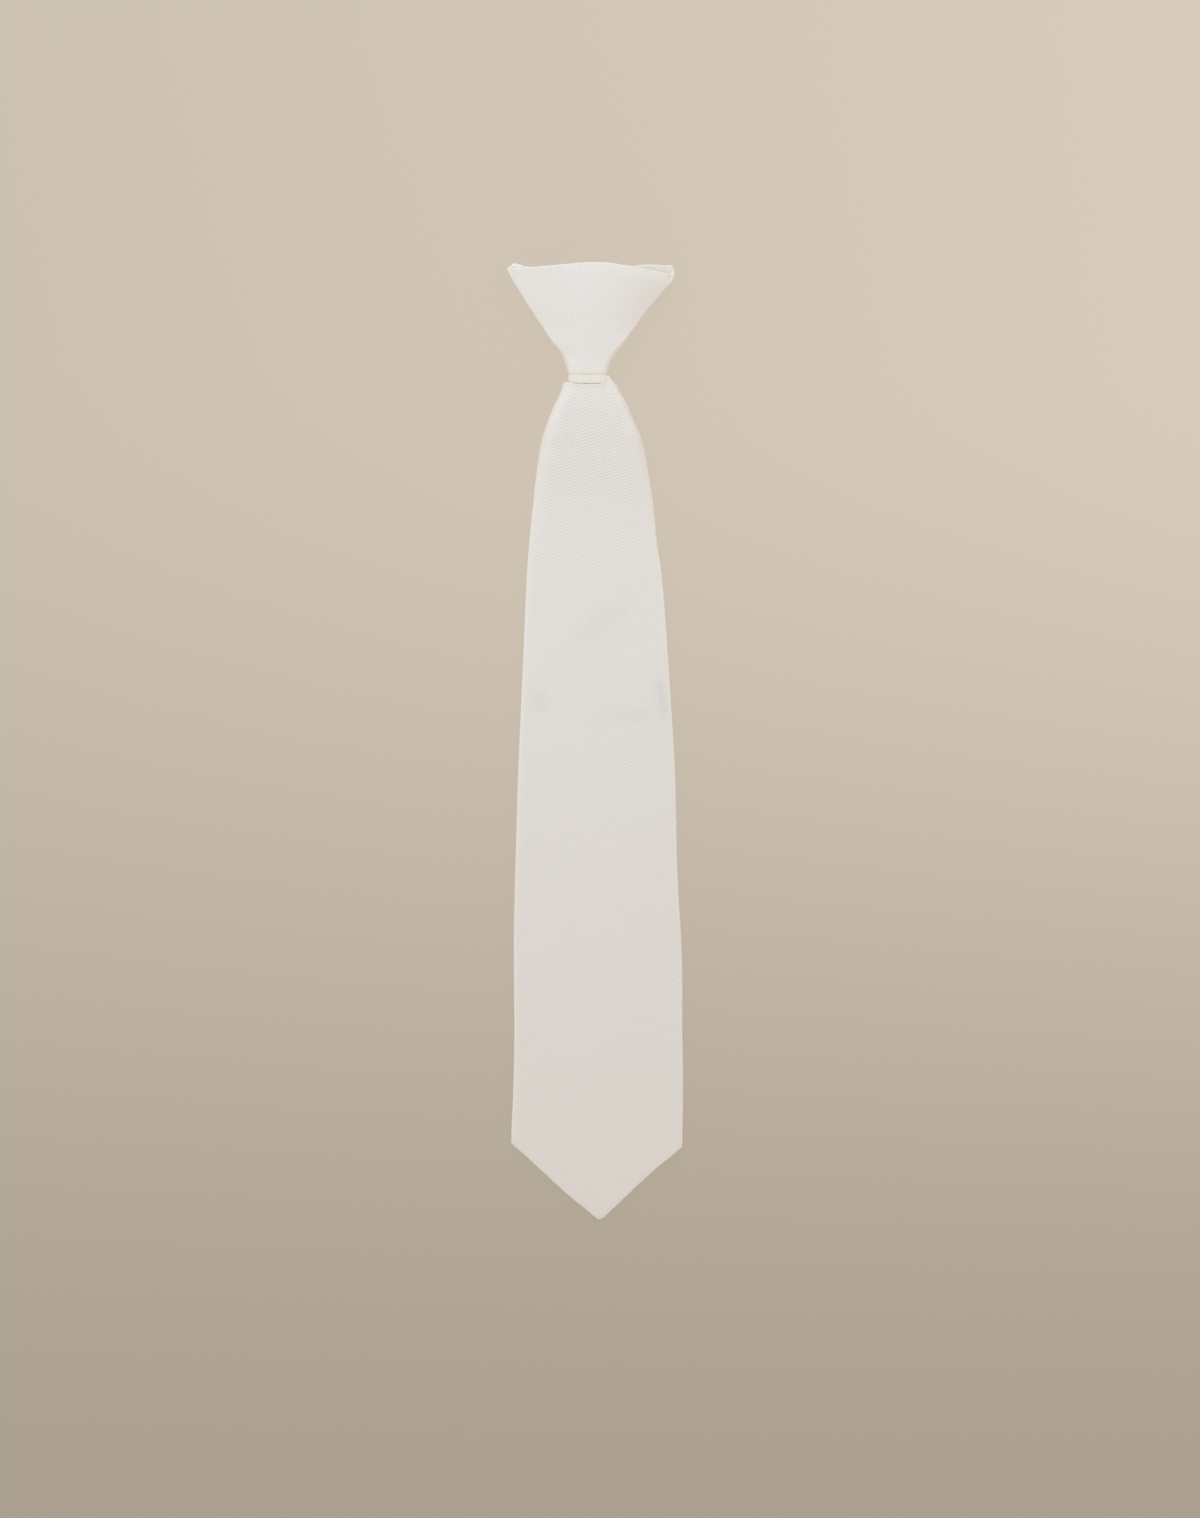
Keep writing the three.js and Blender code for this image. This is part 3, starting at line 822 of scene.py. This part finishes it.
def bladeLine(row, side, inset):
    # half of one section, from the back seam round the fold to the middle of the front
    nose = row["thickness"] / 2
    reach = row["edge"] - nose
    flap = np.linspace(min(row["flapEnd"], reach / 2), reach, bladeSteps["flap"] + 1)
    turn = math.pi * np.arange(1, bladeSteps["fold"] + 1) / bladeSteps["fold"]
    front = reach * (1 - np.arange(1, bladeSteps["front"] + 1) / bladeSteps["front"])
    along = np.concatenate([flap, reach + (nose - inset) * squarer(np.sin(turn), blade["boxiness"]), front])
    depth = np.concatenate([
        np.full(len(flap), row["thickness"] - inset),
        nose + (nose - inset) * squarer(np.cos(turn), blade["boxiness"]),
        np.full(len(front), inset),
    ])
    onFront = np.concatenate([np.zeros(len(flap)), smooth(turn / math.pi), np.ones(len(front))])
    bend = np.maximum(0, along - row["flat"]) / row["radius"]
    roughX = row["middle"] + side * (np.minimum(along, row["flat"]) + row["radius"] * np.sin(bend))
    depth = depth - onFront * frontRelief(roughX, along, row, side)
    settle = 1 + unevenness(roughX, row["y"], blade["flapLiftSize"], 9 + side)
    depth = depth - blade["flapLift"] * settle * (1 - onFront) * min(1.0, row["half"] / 12)
    out = np.minimum(along, row["flat"]) + (row["radius"] - depth) * np.sin(bend)
    up = row["lift"] + row["top"] - row["radius"] + (row["radius"] - depth) * np.cos(bend)
    x = row["middle"] + side * out
    y = np.full(len(x), row["y"])
    if row["raised"] > 0:
        rise = row["raised"] * column(shoulders, "rise", x, "x")
        y = y + rise
        waist = blade["waistHeight"]
        up = waist + (up - waist) * (1 - blade["lean"] * rise * (up > waist))
    weave = flatCloth(row, side, along, turn, len(flap))
    return np.stack([x, y, up], -1), weave, bladeMarks(row, side, along, x, bend, onFront)


def bladeMarks(row, side, along, x, bend, onFront):
    # the three marks of clothMarks for half of one section: clearness, painted crease shade and painted fold
    # highlight
    look = bladeLook
    fromEdge = edgeDistance(row, side, along)
    strip = onFront * (1 - smooth((fromEdge - stripWidth(row, side) + 0.5) / look["stripFade"]))
    strip = np.maximum(strip, look["foldStrip"] * (onFront > 0) * (onFront < 1))
    ribs = 1 - look["rolledSmooth"] * onFront * smooth(bend / 0.6)
    clear = float(column(clearRows, "clear", row["y"])) * (1 - look["stripSmooth"] * strip) * ribs
    # painted shade in the groove under the band
    lineStart = look["shadeLineY"] - look["crestDrop"] * smooth((look["crestX"] - x) / 2)
    creaseShade = smooth((row["y"] - lineStart) / look["shadeLineFade"]) * (x < look["shadeLineRight"])
    # painted highlight along the folds' edges
    lower = float(smooth((look["highlightTop"] - row["y"]) / 12))
    foldHighlight = onFront * (1 - smooth((fromEdge - 0.2) / look["highlightReach"])) * lower
    return np.array([clear, creaseShade, foldHighlight])


def bladeGrid(inset):
    sheets, weaves, marks = [], [], []
    levels = [np.linspace(start, end, count, endpoint=False) for start, end, count in bladeLevels]
    for y in np.concatenate(levels + [[blade["endY"]]]):
        row = bladeSectionAt(float(y))
        left, leftWeave, leftMarks = bladeLine(row, -1, inset * row["full"])
        right, rightWeave, rightMarks = bladeLine(row, 1, inset * row["full"])
        sheets.append(np.concatenate([left, right[::-1][1:]]))
        weaves.append(np.concatenate([leftWeave, rightWeave[::-1][1:]]))
        marks.append(np.concatenate([leftMarks, rightMarks[:, ::-1][:, 1:]], 1))
    return np.array(sheets), np.array(weaves), np.array(marks).transpose(1, 0, 2)


def makeBlade(material):
    outer, weave, marks = bladeGrid(0.0)
    inner, _, _ = bladeGrid(blade["cloth"])
    made = thickSheet("bladeCloth", outer, inner, weave, material, marks)
    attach(made, "root")
    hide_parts("blade")
    return made


# The facing that closes the back of the point

facing = {
    "inset": 2.1, "nearTip": 5, "top": -108, "low": 1.32, "thickness": 0.9, "rows": 70, "columns": 44,
    "swell": 0.07, "swellSize": 30, "swellRoom": 0.08,
}


def makeFacing(material):
    levels = np.linspace(blade["tipY"] + facing["nearTip"], facing["top"], facing["rows"])
    room = facing["swellRoom"]
    outer, inner, weave = [], [], []
    for y in levels:
        row = bladeSectionAt(float(y))
        x = np.linspace(row["left"] + facing["inset"], row["right"] - facing["inset"], facing["columns"])
        swell = facing["swell"] * unevenness(x, y, facing["swellSize"], 21)
        flatY = np.full(len(x), y)
        outer.append(np.stack([x, flatY, facing["low"] + room + swell], -1))
        inner.append(np.stack([x, flatY, facing["low"] + facing["thickness"] - room + swell], -1))
        weave.append(np.stack([x, flatY], -1))
    made = thickSheet("facingCloth", np.array(outer), np.array(inner), np.array(weave), material)
    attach(made, "root")
    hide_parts("tip_facing")
    return made


# The knot, a hollow flattened funnel that is open at the top

knot = {
    "cloth": 1.0,
    "rimCloth": 1.5,        # the rim is turned in, so it is thicker
    "rimDepth": 12,
    "rimReach": 5,
    "rimDrop": 0.75,        # the rounded edge stands this much above the last row
    "crownDrop": 0.6,       # and the arch's top a little more
    "unevenness": 0.26,
    "waveSize": 40,
    "flutes": 0.20,
    "fluteFan": 7.5,        # how closely the flutes stand
    "crossLineY": 200.6,    # a faint line pressed across the front, and from where to where
    "crossLine": 0.12,
    "crossLineFrom": -14,
    "crossLineTo": 26,
    "footTaper": 0.28,
    "footRound": 1.8,
    "backSeam": 0.35,
    "tuckY": 217.5,         # above here the front wall tucks in behind the fold at the right corner
    "tuck": 1.1,
    "shutY": 213,           # above here the back wall lies up against the front one at the corners
    "leftShut": 0.97,
    "leftShutX": -27,
    "rightShut": 0.80,
    "rightShutX": 14,
    "blobY": 223.6,         # above here the folded cloth stands out of the left corner
    "blob": 1.75,
    "blobX": -31,
    "cornerRound": 0.4,     # the left corner is rounded off
    "footBoxiness": 3.6,    # how square the folds are at the foot, and above it, where 2 is round
    "boxiness": 3.2,
    "boxinessReach": 14,
    "leastFold": 0.25,
}
knotRows = table(
    "y left right back fold crown",
    (174.67, -13.15, 6.1, 1.9, 7.1, 16.2),
    (177.4, -13.7, 6.3, 1.9, 7.1, 16.3),
    (179.8, -14.45, 7.2, 2, 7, 16.5),
    (183.6, -15.9, 9.4, 3.3, 6.2, 16.95),
    (187.4, -18.75, 12.05, 5.4, 5.1, 17.6),
    (191.3, -21.6, 14.95, 6.85, 4.0, 18.4),
    (198, -25.95, 19.6, 7, 3, 19.8),
    (205.6, -31, 24.9, 7, 2.6, 21.3),
    (211.5, -34.6, 29.6, 7, 2.3, 22.3),
    (217.5, -38.1, 34.1, 7, 2.1, 23.2),
    (222, -40.6, 37.3, 7, 1.9, 23.8),
    (225, -41.95, 37.85, 7, 1.9, 24),
)
# the tops of the front and back walls across the knot
rimRows = table(
    "x front back",
    (-40.05, 225.7, 226.75),
    (-39.4, 225.75, 227.7),
    (-38.5, 225.75, 228.15),
    (-37.3, 225.7, 227.75),
    (-36.0, 225.7, 227.4),
    (-34.5, 225.75, 226.85),
    (-32.0, 225.95, 226.3),
    (-29.1, 226.15, 226.1),
    (-24.5, 226.55, 226.0),
    (-17, 227.2, 226.0),
    (-8, 228.1, 226.0),
    (0, 228.5, 226.0),
    (6, 228.2, 226.0),
    (11.8, 227.35, 226.1),
    (17.1, 226.5, 226.4),
    (20.3, 225.9, 226.8),
    (24.6, 225.0, 227.2),
    (29.9, 223.9, 227.15),
    (33.1, 223.2, 226.95),
    (35.95, 223.1, 227.05),
)
knotSteps = {
    "back": 64, "turn": 16, "arch": 104, "levels": 74, "rimLevels": 24, "rimEdge": 5, "footEdge": 3,
}
# where the knot's weave is clear, and where shade and highlight are painted on it
knotMarks = {
    "clearLeft": 1.48,      # the nubs show most in the left third
    "clearLoss": 0.95,
    "clearFrom": -20,
    "clearOver": 26,
    "clearFold": (0.5, 0.9),  # and less in the right and left folds
    # painted shade at the knot's foot, in the groove above the band
    "footShade": 0.31,
    "cornerSpot": 0.7,       # a small spot at the right corner, where the turned-in edge shows, is tinted darker and yellower
    "cornerX": 36.1,
    "cornerY": 223.3,
    # a painted shade line along the front rim's edge on the right
    "rimShade": 0.24,
    "rimShadeX": 12,
    "rimShadeZ": 9.5,
    "leftX": -33,
    "leftShadeLine": 0.3,        # painted shade: a faint line under the cloth that stands out of the left corner
    "leftShadeLineY": 225.1,
    "foldHighlight": 0.8,         # and a painted highlight on that cloth
    "highlightY": 225.5,
}


def knotSectionAt(y, inset):
    # one plain section, once round: flat back, right fold, arched front, left fold
    row = {name: float(column(knotRows, name, y)) for name in ("left", "right", "back", "fold", "crown")}
    foot, rim = knotRows[0]["y"], knotRows[-1]["y"]
    taper = knot["footTaper"] * (1 - min(1, (y - foot) / knot["footRound"])) ** 2
    fold = row["fold"] - taper
    reach = max(fold - inset, knot["leastFold"])
    leftEnd, rightEnd = row["left"] + row["fold"], row["right"] - row["fold"]
    half = (rightEnd - leftEnd) / 2
    low = row["back"] + taper
    # the folds end where they slope as much as the arch does at its ends
    slope = math.atan((row["crown"] - taper - low - 2 * fold) * math.pi / 2 / half)
    backT, turnT, archT = (np.arange(knotSteps[name]) / knotSteps[name] for name in ("back", "turn", "arch"))
    across = np.concatenate([2 * backT - 1, np.ones(len(turnT)), 1 - 2 * archT, -np.ones(len(turnT))])
    front = np.concatenate([
        np.zeros(len(backT)), smooth(turnT / 0.7), np.ones(len(archT)), 1 - smooth(turnT),
    ])
    aboveFoot = float(smooth((y - foot) / knot["boxinessReach"]))
    boxiness = blendNumbers(knot["footBoxiness"], knot["boxiness"], aboveFoot)
    rightTurn = (math.pi - slope) * turnT
    leftTurn = slope + rightTurn
    archEnd = half + reach * float(squarer(math.sin(slope), boxiness))
    base = low + fold + reach * float(squarer(math.cos(slope), boxiness))
    rise = row["crown"] - taper - inset - base
    swell = rise * np.cos((1 - 2 * archT) * math.pi / 2)
    middle = (leftEnd + rightEnd) / 2
    x = np.concatenate([
        blendNumbers(leftEnd, rightEnd, backT), rightEnd + reach * squarer(np.sin(rightTurn), boxiness),
        middle + archEnd * (1 - 2 * archT), leftEnd - reach * squarer(np.sin(leftTurn), boxiness),
    ])
    z = np.concatenate([
        np.full(len(backT), low + inset), low + fold - reach * squarer(np.cos(rightTurn), boxiness),
        base + swell, low + fold + reach * squarer(np.cos(leftTurn), boxiness),
    ])
    return {
        "y": y, "part": (y - foot) / (rim - foot), "x": x, "z": z, "across": across, "front": front,
        "middle": middle, "rightEnd": rightEnd, "swell": swell.max(),
        # how far apart the two walls stand, and which points make up the left fold
        "between": base + rise * np.cos(across * half / archEnd * math.pi / 2) + inset - low,
        "leftFold": np.concatenate([np.zeros(len(x) - len(turnT)), np.sin(math.pi * turnT) ** 2]),
    }


def knotHeight(section):
    # both walls rise to their own rims
    rim = knotRows[-1]
    x = blendNumbers(rimRows[0]["x"], rimRows[-1]["x"], (section["across"] + 1) / 2)
    top = blendNumbers(column(rimRows, "back", x, "x"), column(rimRows, "front", x, "x"), section["front"])
    top = top - knot["rimDrop"] - knot["crownDrop"] * (section["z"] / rim["crown"])
    return section["y"] + (top - rim["y"]) * max(section["part"], 0) ** knot["rimReach"]


def frontBump(section):
    # the front wall's wide waves, its flutes and the faint line across it
    x, y, part = section["x"], section["y"], section["part"]
    bump = knot["unevenness"] * unevenness(x, y, knot["waveSize"], 31) * smooth(part * 3)
    flutes = knot["flutes"] * np.cos(section["across"] * knot["fluteFan"] + 0.8)
    bump = bump + flutes * smooth(part * 2.5) * (1 - 0.6 * part)
    crossLine = knot["crossLine"] * bell(y - knot["crossLineY"] - 0.03 * x, 0.7)
    lineEnds = smooth((x - knot["crossLineFrom"]) / 8) * smooth((knot["crossLineTo"] - x) / 8)
    bump = bump - crossLine * lineEnds
    return bump * section["front"] * np.clip(section["swell"] / 6, 0, 1)


def backLift(section, height):
    # the back wall lies up against the front one at both corners, and stands out of the left one
    x = section["x"]
    shut = knot["leftShut"] * smooth((knot["leftShutX"] - x) / 4)
    shut = shut + knot["rightShut"] * smooth((x - knot["rightShutX"]) / 7)
    lift = (section["between"] - 2 * knot["rimCloth"]) * shut * smooth((height - knot["shutY"]) / 9)
    blob = knot["blob"] * smooth((knot["blobX"] - x) / 4) * smooth((height - knot["blobY"]) / 1.6)
    return (lift + blob) * (1 - section["front"])


def knotRing(y, inset):
    # the section's points, with all that makes them differ from the plain shape
    section = knotSectionAt(y, inset)
    x, front = section["x"], section["front"]
    height = knotHeight(section)
    tuck = bell(x - (section["rightEnd"] - 0.3), 0.55) * front * smooth((height - knot["tuckY"]) / 4)
    seam = knot["backSeam"] * bell(x - section["middle"], 0.45) * (front == 0) * (inset == 0)
    z = section["z"] + frontBump(section) - knot["tuck"] * tuck + seam + backLift(section, height)
    nearRim = smooth((section["part"] - 0.7) / 0.3)
    height = height - knot["cornerRound"] * section["leftFold"] * nearRim
    return np.stack([x, height, z], -1)


def makeKnot(material):
    foot, rim = knotRows[0]["y"], knotRows[-1]["y"]
    # the sections stand closest at the foot and the rim
    levels = np.concatenate([
        foot + np.array([0, 0.02, 0.06, 0.14, 0.3]),
        np.linspace(foot + 0.55, rim - 5, knotSteps["levels"], endpoint=False),
        np.linspace(rim - 5, rim, knotSteps["rimLevels"]),
    ])
    turnedIn = smooth((levels - (rim - knot["rimDepth"])) / 1.2)
    insets = blendNumbers(knot["cloth"], knot["rimCloth"], turnedIn)
    outer = np.array([knotRing(y, 0.0) for y in levels])
    inner = np.array([knotRing(y, inset) for y, inset in zip(levels, insets)])
    rimEdge = roundedEdge(outer[-1], inner[-1], outer[-1] - outer[-4], knotSteps["rimEdge"])
    footEdge = roundedEdge(inner[0], outer[0], outer[0] - outer[1], knotSteps["footEdge"], 0.01)
    grid = np.concatenate([outer, rimEdge, inner[::-1], footEdge])
    # the cloth goes round the funnel, so the weave runs across it
    closed = np.concatenate([outer, outer[:, :1]], 1)
    girth = np.cumsum(np.linalg.norm(np.diff(closed, axis=1), axis=2), 1)
    girth = np.concatenate([np.zeros((len(outer), 1)), girth], 1)
    middle = knotSteps["back"] + knotSteps["turn"] + knotSteps["arch"] // 2
    girth = girth - girth[:, middle:middle + 1]
    lengths = np.repeat(levels[:, None], girth.shape[1], 1)
    sheet = np.stack([girth, lengths], -1)
    atRim = np.repeat(sheet[-1:], len(rimEdge), 0)
    atFoot = np.repeat(sheet[:1], len(footEdge) + 1, 0)
    weave = np.concatenate([sheet, atRim, sheet[::-1], atFoot])
    marks = knotMarksOn(grid, slice(len(outer) - 1, len(outer) + len(rimEdge) - 1))
    made = gridObject("knotCloth", grid, weave, material, (), marks)
    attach(made, "root")
    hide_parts("knot")
    return made


def knotMarksOn(grid, rimEdge):
    # the three marks of clothMarks for each point of the knot: clearness, painted shade and painted
    # highlight
    look = knotMarks
    x, y, z = grid[:, :, 0], grid[:, :, 1], grid[:, :, 2]
    clear = look["clearLeft"] - look["clearLoss"] * smooth((x - look["clearFrom"]) / look["clearOver"])
    rightFold, leftFold = look["clearFold"]
    clear[:, knotSteps["back"]:knotSteps["back"] + knotSteps["turn"]] = rightFold
    clear[:, -knotSteps["turn"]:] = leftFold
    # painted shade at the foot, along the right part of the front rim, and in a line under the cloth at the
    # left corner
    creaseShade = look["footShade"] * (1 - smooth((y - knotRows[0]["y"]) / 1.7))
    # a small darker, yellower spot at the right corner
    away = np.hypot(x - look["cornerX"], y - look["cornerY"])
    creaseShade = np.maximum(creaseShade, look["cornerSpot"] * bell(away, 0.8))
    rimShade = look["rimShade"] * smooth((x[rimEdge] - look["rimShadeX"]) / 12) * (z[rimEdge] > look["rimShadeZ"])
    creaseShade[rimEdge] = np.maximum(creaseShade[rimEdge], rimShade)
    leftCorner = smooth((look["leftX"] - x) / 2)
    leftShadeLine = look["leftShadeLine"] * bell(y - look["leftShadeLineY"], 0.3)
    creaseShade = np.maximum(creaseShade, leftShadeLine * leftCorner)
    # painted highlight on the cloth that stands out of the left corner
    foldHighlight = look["foldHighlight"] * smooth((y - look["highlightY"]) / 0.5) * leftCorner
    return [clear, creaseShade, foldHighlight]


# The band round the waist

band = {
    "left": -13.05, "right": 6.05, "back": 2.1, "front": 15.9, "top": 174.658, "bottom": 171.0,
    "middleLow": 170.35, "leftLow": 171.1, "leftFrom": -5, "leftReach": 8, "cloth": 1.0, "pillow": 0.22,
    "boxiness": 3.6, "lines": 0.04, "linePitch": 0.95, "waver": 0.10, "waverSize": 14, "clear": 0.25,
    # painted shade along the band's top and bottom, in the grooves beside the knot's foot and the blade
    "topShade": 0.38, "topShadeFrom": 0.42, "topShadeOver": 0.40, "lowShade": 0.9, "lowShadeOver": 0.09,
    "weaveHeight": 4, "around": 150, "levels": 28,
}


def makeBand(material):
    radius = (band["front"] - band["back"]) / 2
    middle = (band["left"] + band["right"]) / 2
    straight = (band["right"] - band["left"]) / 2 - radius
    turn = 2 * math.pi * (np.arange(band["around"]) + 0.5) / band["around"]
    acrossTurn = squarer(np.sin(turn), band["boxiness"])
    upTurn = squarer(np.cos(turn), band["boxiness"])

    def ring(level, inset):
        x = middle + np.sign(np.sin(turn)) * straight + (radius - inset) * acrossTurn
        z = band["back"] + radius + (radius - inset) * upTurn
        upwards = np.clip((band["leftFrom"] - x) / band["leftReach"], 0, 1) ** 2
        low = blendNumbers(band["middleLow"], band["leftLow"], upwards)
        waver = band["waver"] * unevenness(x, z * 2, band["waverSize"], 41)
        return np.stack([x, blendNumbers(low, band["top"], level) + waver * (1 - level), z], -1)

    rise = (1 - np.cos(np.linspace(0, math.pi, band["levels"]))) / 2
    rounded = band["pillow"] * np.abs(2 * rise - 1) ** 3
    tall = band["top"] - band["bottom"]
    lines = band["lines"] * (1 + np.cos(2 * math.pi * rise * tall / band["linePitch"]))
    outer = np.array([ring(t, sunk) for t, sunk in zip(rise, rounded + lines)])
    inner = np.array([ring(t, band["cloth"]) for t in rise])
    upper = roundedEdge(outer[-1], inner[-1], outer[-1] - outer[-2], 3, 0.01)
    lower = roundedEdge(inner[0], outer[0], outer[0] - outer[1], 3, 0.1)
    grid = np.concatenate([outer, upper, inner[::-1], lower])
    # the share of the band's height at each row, which is one more in the weave
    shares = np.concatenate([rise, [1] * len(upper), rise[::-1], [0] * (len(lower) + 1)])[:, None]
    around = np.linspace(0, 2 * math.pi * radius + 4 * straight, band["around"] + 1)[None]
    weave = np.stack([around + 0 * shares, shares * band["weaveHeight"] + 0 * around], -1)
    level = shares[:-1] + 0 * grid[:, :, 0]
    # painted shade along the top and bottom edges
    creaseShade = band["topShade"] * smooth((level - band["topShadeFrom"]) / band["topShadeOver"])
    creaseShade = creaseShade + band["lowShade"] * (1 - smooth(level / band["lowShadeOver"]))
    marks = [np.full(level.shape, band["clear"]), creaseShade, np.zeros(level.shape)]
    made = gridObject("bandCloth", grid, weave, material, (), marks)
    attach(made, "root")
    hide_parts("knot_band")
    return made


# The clasp, one strip bent into a hairpin

clasp = {
    "x": -2.25, "width": 13, "thickness": 1.0, "gap": 4.7, "tongueEnd": 186, "legEnd": 191.5,
    "bend": 214.6, "corner": 3.0, "edgeRound": 0.28, "endSqueeze": 0.72,
}
claspSteps = {"corner": 9, "tongue": 14, "bend": 22, "leg": 12, "edge": 4}


def claspPath():
    # points down the middle of the strip's thickness, with half the width at each
    radius = clasp["gap"] / 2 + clasp["thickness"] / 2
    centre = clasp["gap"] / 2 + clasp["thickness"]
    corner = clasp["corner"]
    start = clasp["tongueEnd"]
    rounded = corner * (1 - np.cos(np.linspace(0, math.pi / 2, claspSteps["corner"])))
    straight = np.linspace(start + corner, clasp["bend"], claspSteps["tongue"])
    tongue = np.concatenate([start + rounded, straight[1:]])
    turn = np.linspace(-math.pi / 2, math.pi / 2, claspSteps["bend"])[1:]
    leg = np.linspace(clasp["bend"], clasp["legEnd"], claspSteps["leg"])[1:]
    y = np.concatenate([tongue, clasp["bend"] + radius * np.cos(turn), leg])
    z = np.concatenate([
        np.full(len(tongue), centre - radius), centre + radius * np.sin(turn),
        np.full(len(leg), centre + radius),
    ])
    into = np.clip(corner - (tongue - start), 0, corner)
    half = clasp["width"] / 2 - corner + np.sqrt(np.maximum(corner ** 2 - into ** 2, 0))
    half = np.concatenate([half, np.full(len(y) - len(half), clasp["width"] / 2)])
    return y, z, half


def makeClasp(material):
    y, z, half = claspPath()
    path = np.stack([y, z], -1)
    tangent = np.gradient(path, axis=0)
    tangent /= np.linalg.norm(tangent, axis=1, keepdims=True)
    normal = np.stack([tangent[:, 1], -tangent[:, 0]], -1)
    # the strip's section: a flat bar with rounded edges
    t, r = clasp["thickness"] / 2, clasp["edgeRound"]
    quarter = np.linspace(0, math.pi / 2, claspSteps["edge"])
    edge = [(-r + r * math.cos(a), t - r + r * math.sin(a)) for a in quarter[::-1]]
    edge += [(-r + r * math.cos(a), -t + r - r * math.sin(a)) for a in quarter]
    rings = []
    for k in range(len(y)):
        squeeze = clasp["endSqueeze"] if k in (0, len(y) - 1) else 1.0
        section = [(half[k] + w, d * squeeze) for w, d in edge]
        section += [(-half[k] - w, d * squeeze) for w, d in edge[::-1]]
        rings.append([
            (clasp["x"] + w, y[k] + normal[k, 0] * d, z[k] + normal[k, 1] * d) for w, d in section
        ])
    rings = np.array(rings)
    made = gridObject("claspStrip", rings, evenWeave(rings), material, oppositePairs(rings.shape[1]))
    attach(made, "root")
    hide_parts("collar_clip")
    return made


# The slip stitches of the back seam

stitching = {
    "pitch": 9.0, "from": -112, "to": 60, "bite": 0.75, "slant": 0.5, "thread": 0.16, "height": 0.34,
    "bulge": -0.12,         # the thread's middle stands out of the back, which faces down
    "sides": 8, "steps": 9,
}


def threadBar(start, end):
    # a short length of thread that is thinner towards both ends
    start, end = np.array(start, float), np.array(end, float)
    t = np.linspace(0, 1, stitching["steps"])
    line = start + (end - start) * t[:, None]
    line[:, 2] += stitching["bulge"] * np.sin(math.pi * t)
    along = (end - start) / np.linalg.norm(end - start)
    across = np.cross(along, (0, 0, 1.0))
    across /= np.linalg.norm(across)
    upward = np.cross(across, along)
    turn = 2 * math.pi * np.arange(stitching["sides"]) / stitching["sides"]
    size = stitching["thread"] * (0.55 + 0.45 * np.sin(math.pi * t))
    ring = np.cos(turn)[:, None] * across + np.sin(turn)[:, None] * upward
    return line[:, None] + ring[None] * size[:, None, None]


def makeStitches(material):
    reach, low = stitching["bite"], stitching["height"]
    pairs = oppositePairs(stitching["sides"])
    pieces = []
    for k, y in enumerate(np.arange(stitching["from"], stitching["to"], stitching["pitch"])):
        middle = bladeSectionAt(float(y))["middle"]
        bar = threadBar((middle - reach, y, low), (middle + reach, y + stitching["slant"], low))
        pieces.append(gridObject(f"stitch{k}", bar, evenWeave(bar, 0.1, 0.2), material, pairs))
    made = joinPieces(pieces, "seamStitches")
    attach(made, "root")
    return made


def joinPieces(pieces, name):
    bpy.ops.object.select_all(action="DESELECT")
    for piece in pieces:
        piece.select_set(True)
    bpy.context.view_layer.objects.active = pieces[0]
    bpy.ops.object.join()
    pieces[0].name = name
    pieces[0].data.name = name
    return pieces[0]


def report(stage, piece):
    print(stage + ":", len(piece.data.polygons), "faces")


makeCamera()
makeDome()
for panel in panels:
    makePanel(panel)
makeFloor()
bpy.context.scene.view_settings.view_transform = "Standard"
print("stage ready")

bladePiece = makeBlade(tieCloth("bladeCloth"))
report("blade folded", bladePiece)
facingPiece = makeFacing(facingCloth())
report("facing laid in", facingPiece)
knotPiece = makeKnot(tieCloth("knotCloth", 79, "knotShares"))
report("knot formed", knotPiece)
bandPiece = makeBand(tieCloth("bandCloth", 90))
report("band wrapped", bandPiece)
claspPiece = makeClasp(claspPlastic())
report("clasp bent", claspPiece)
stitchPiece = makeStitches(sewingThread())
report("seam sewn", stitchPiece)
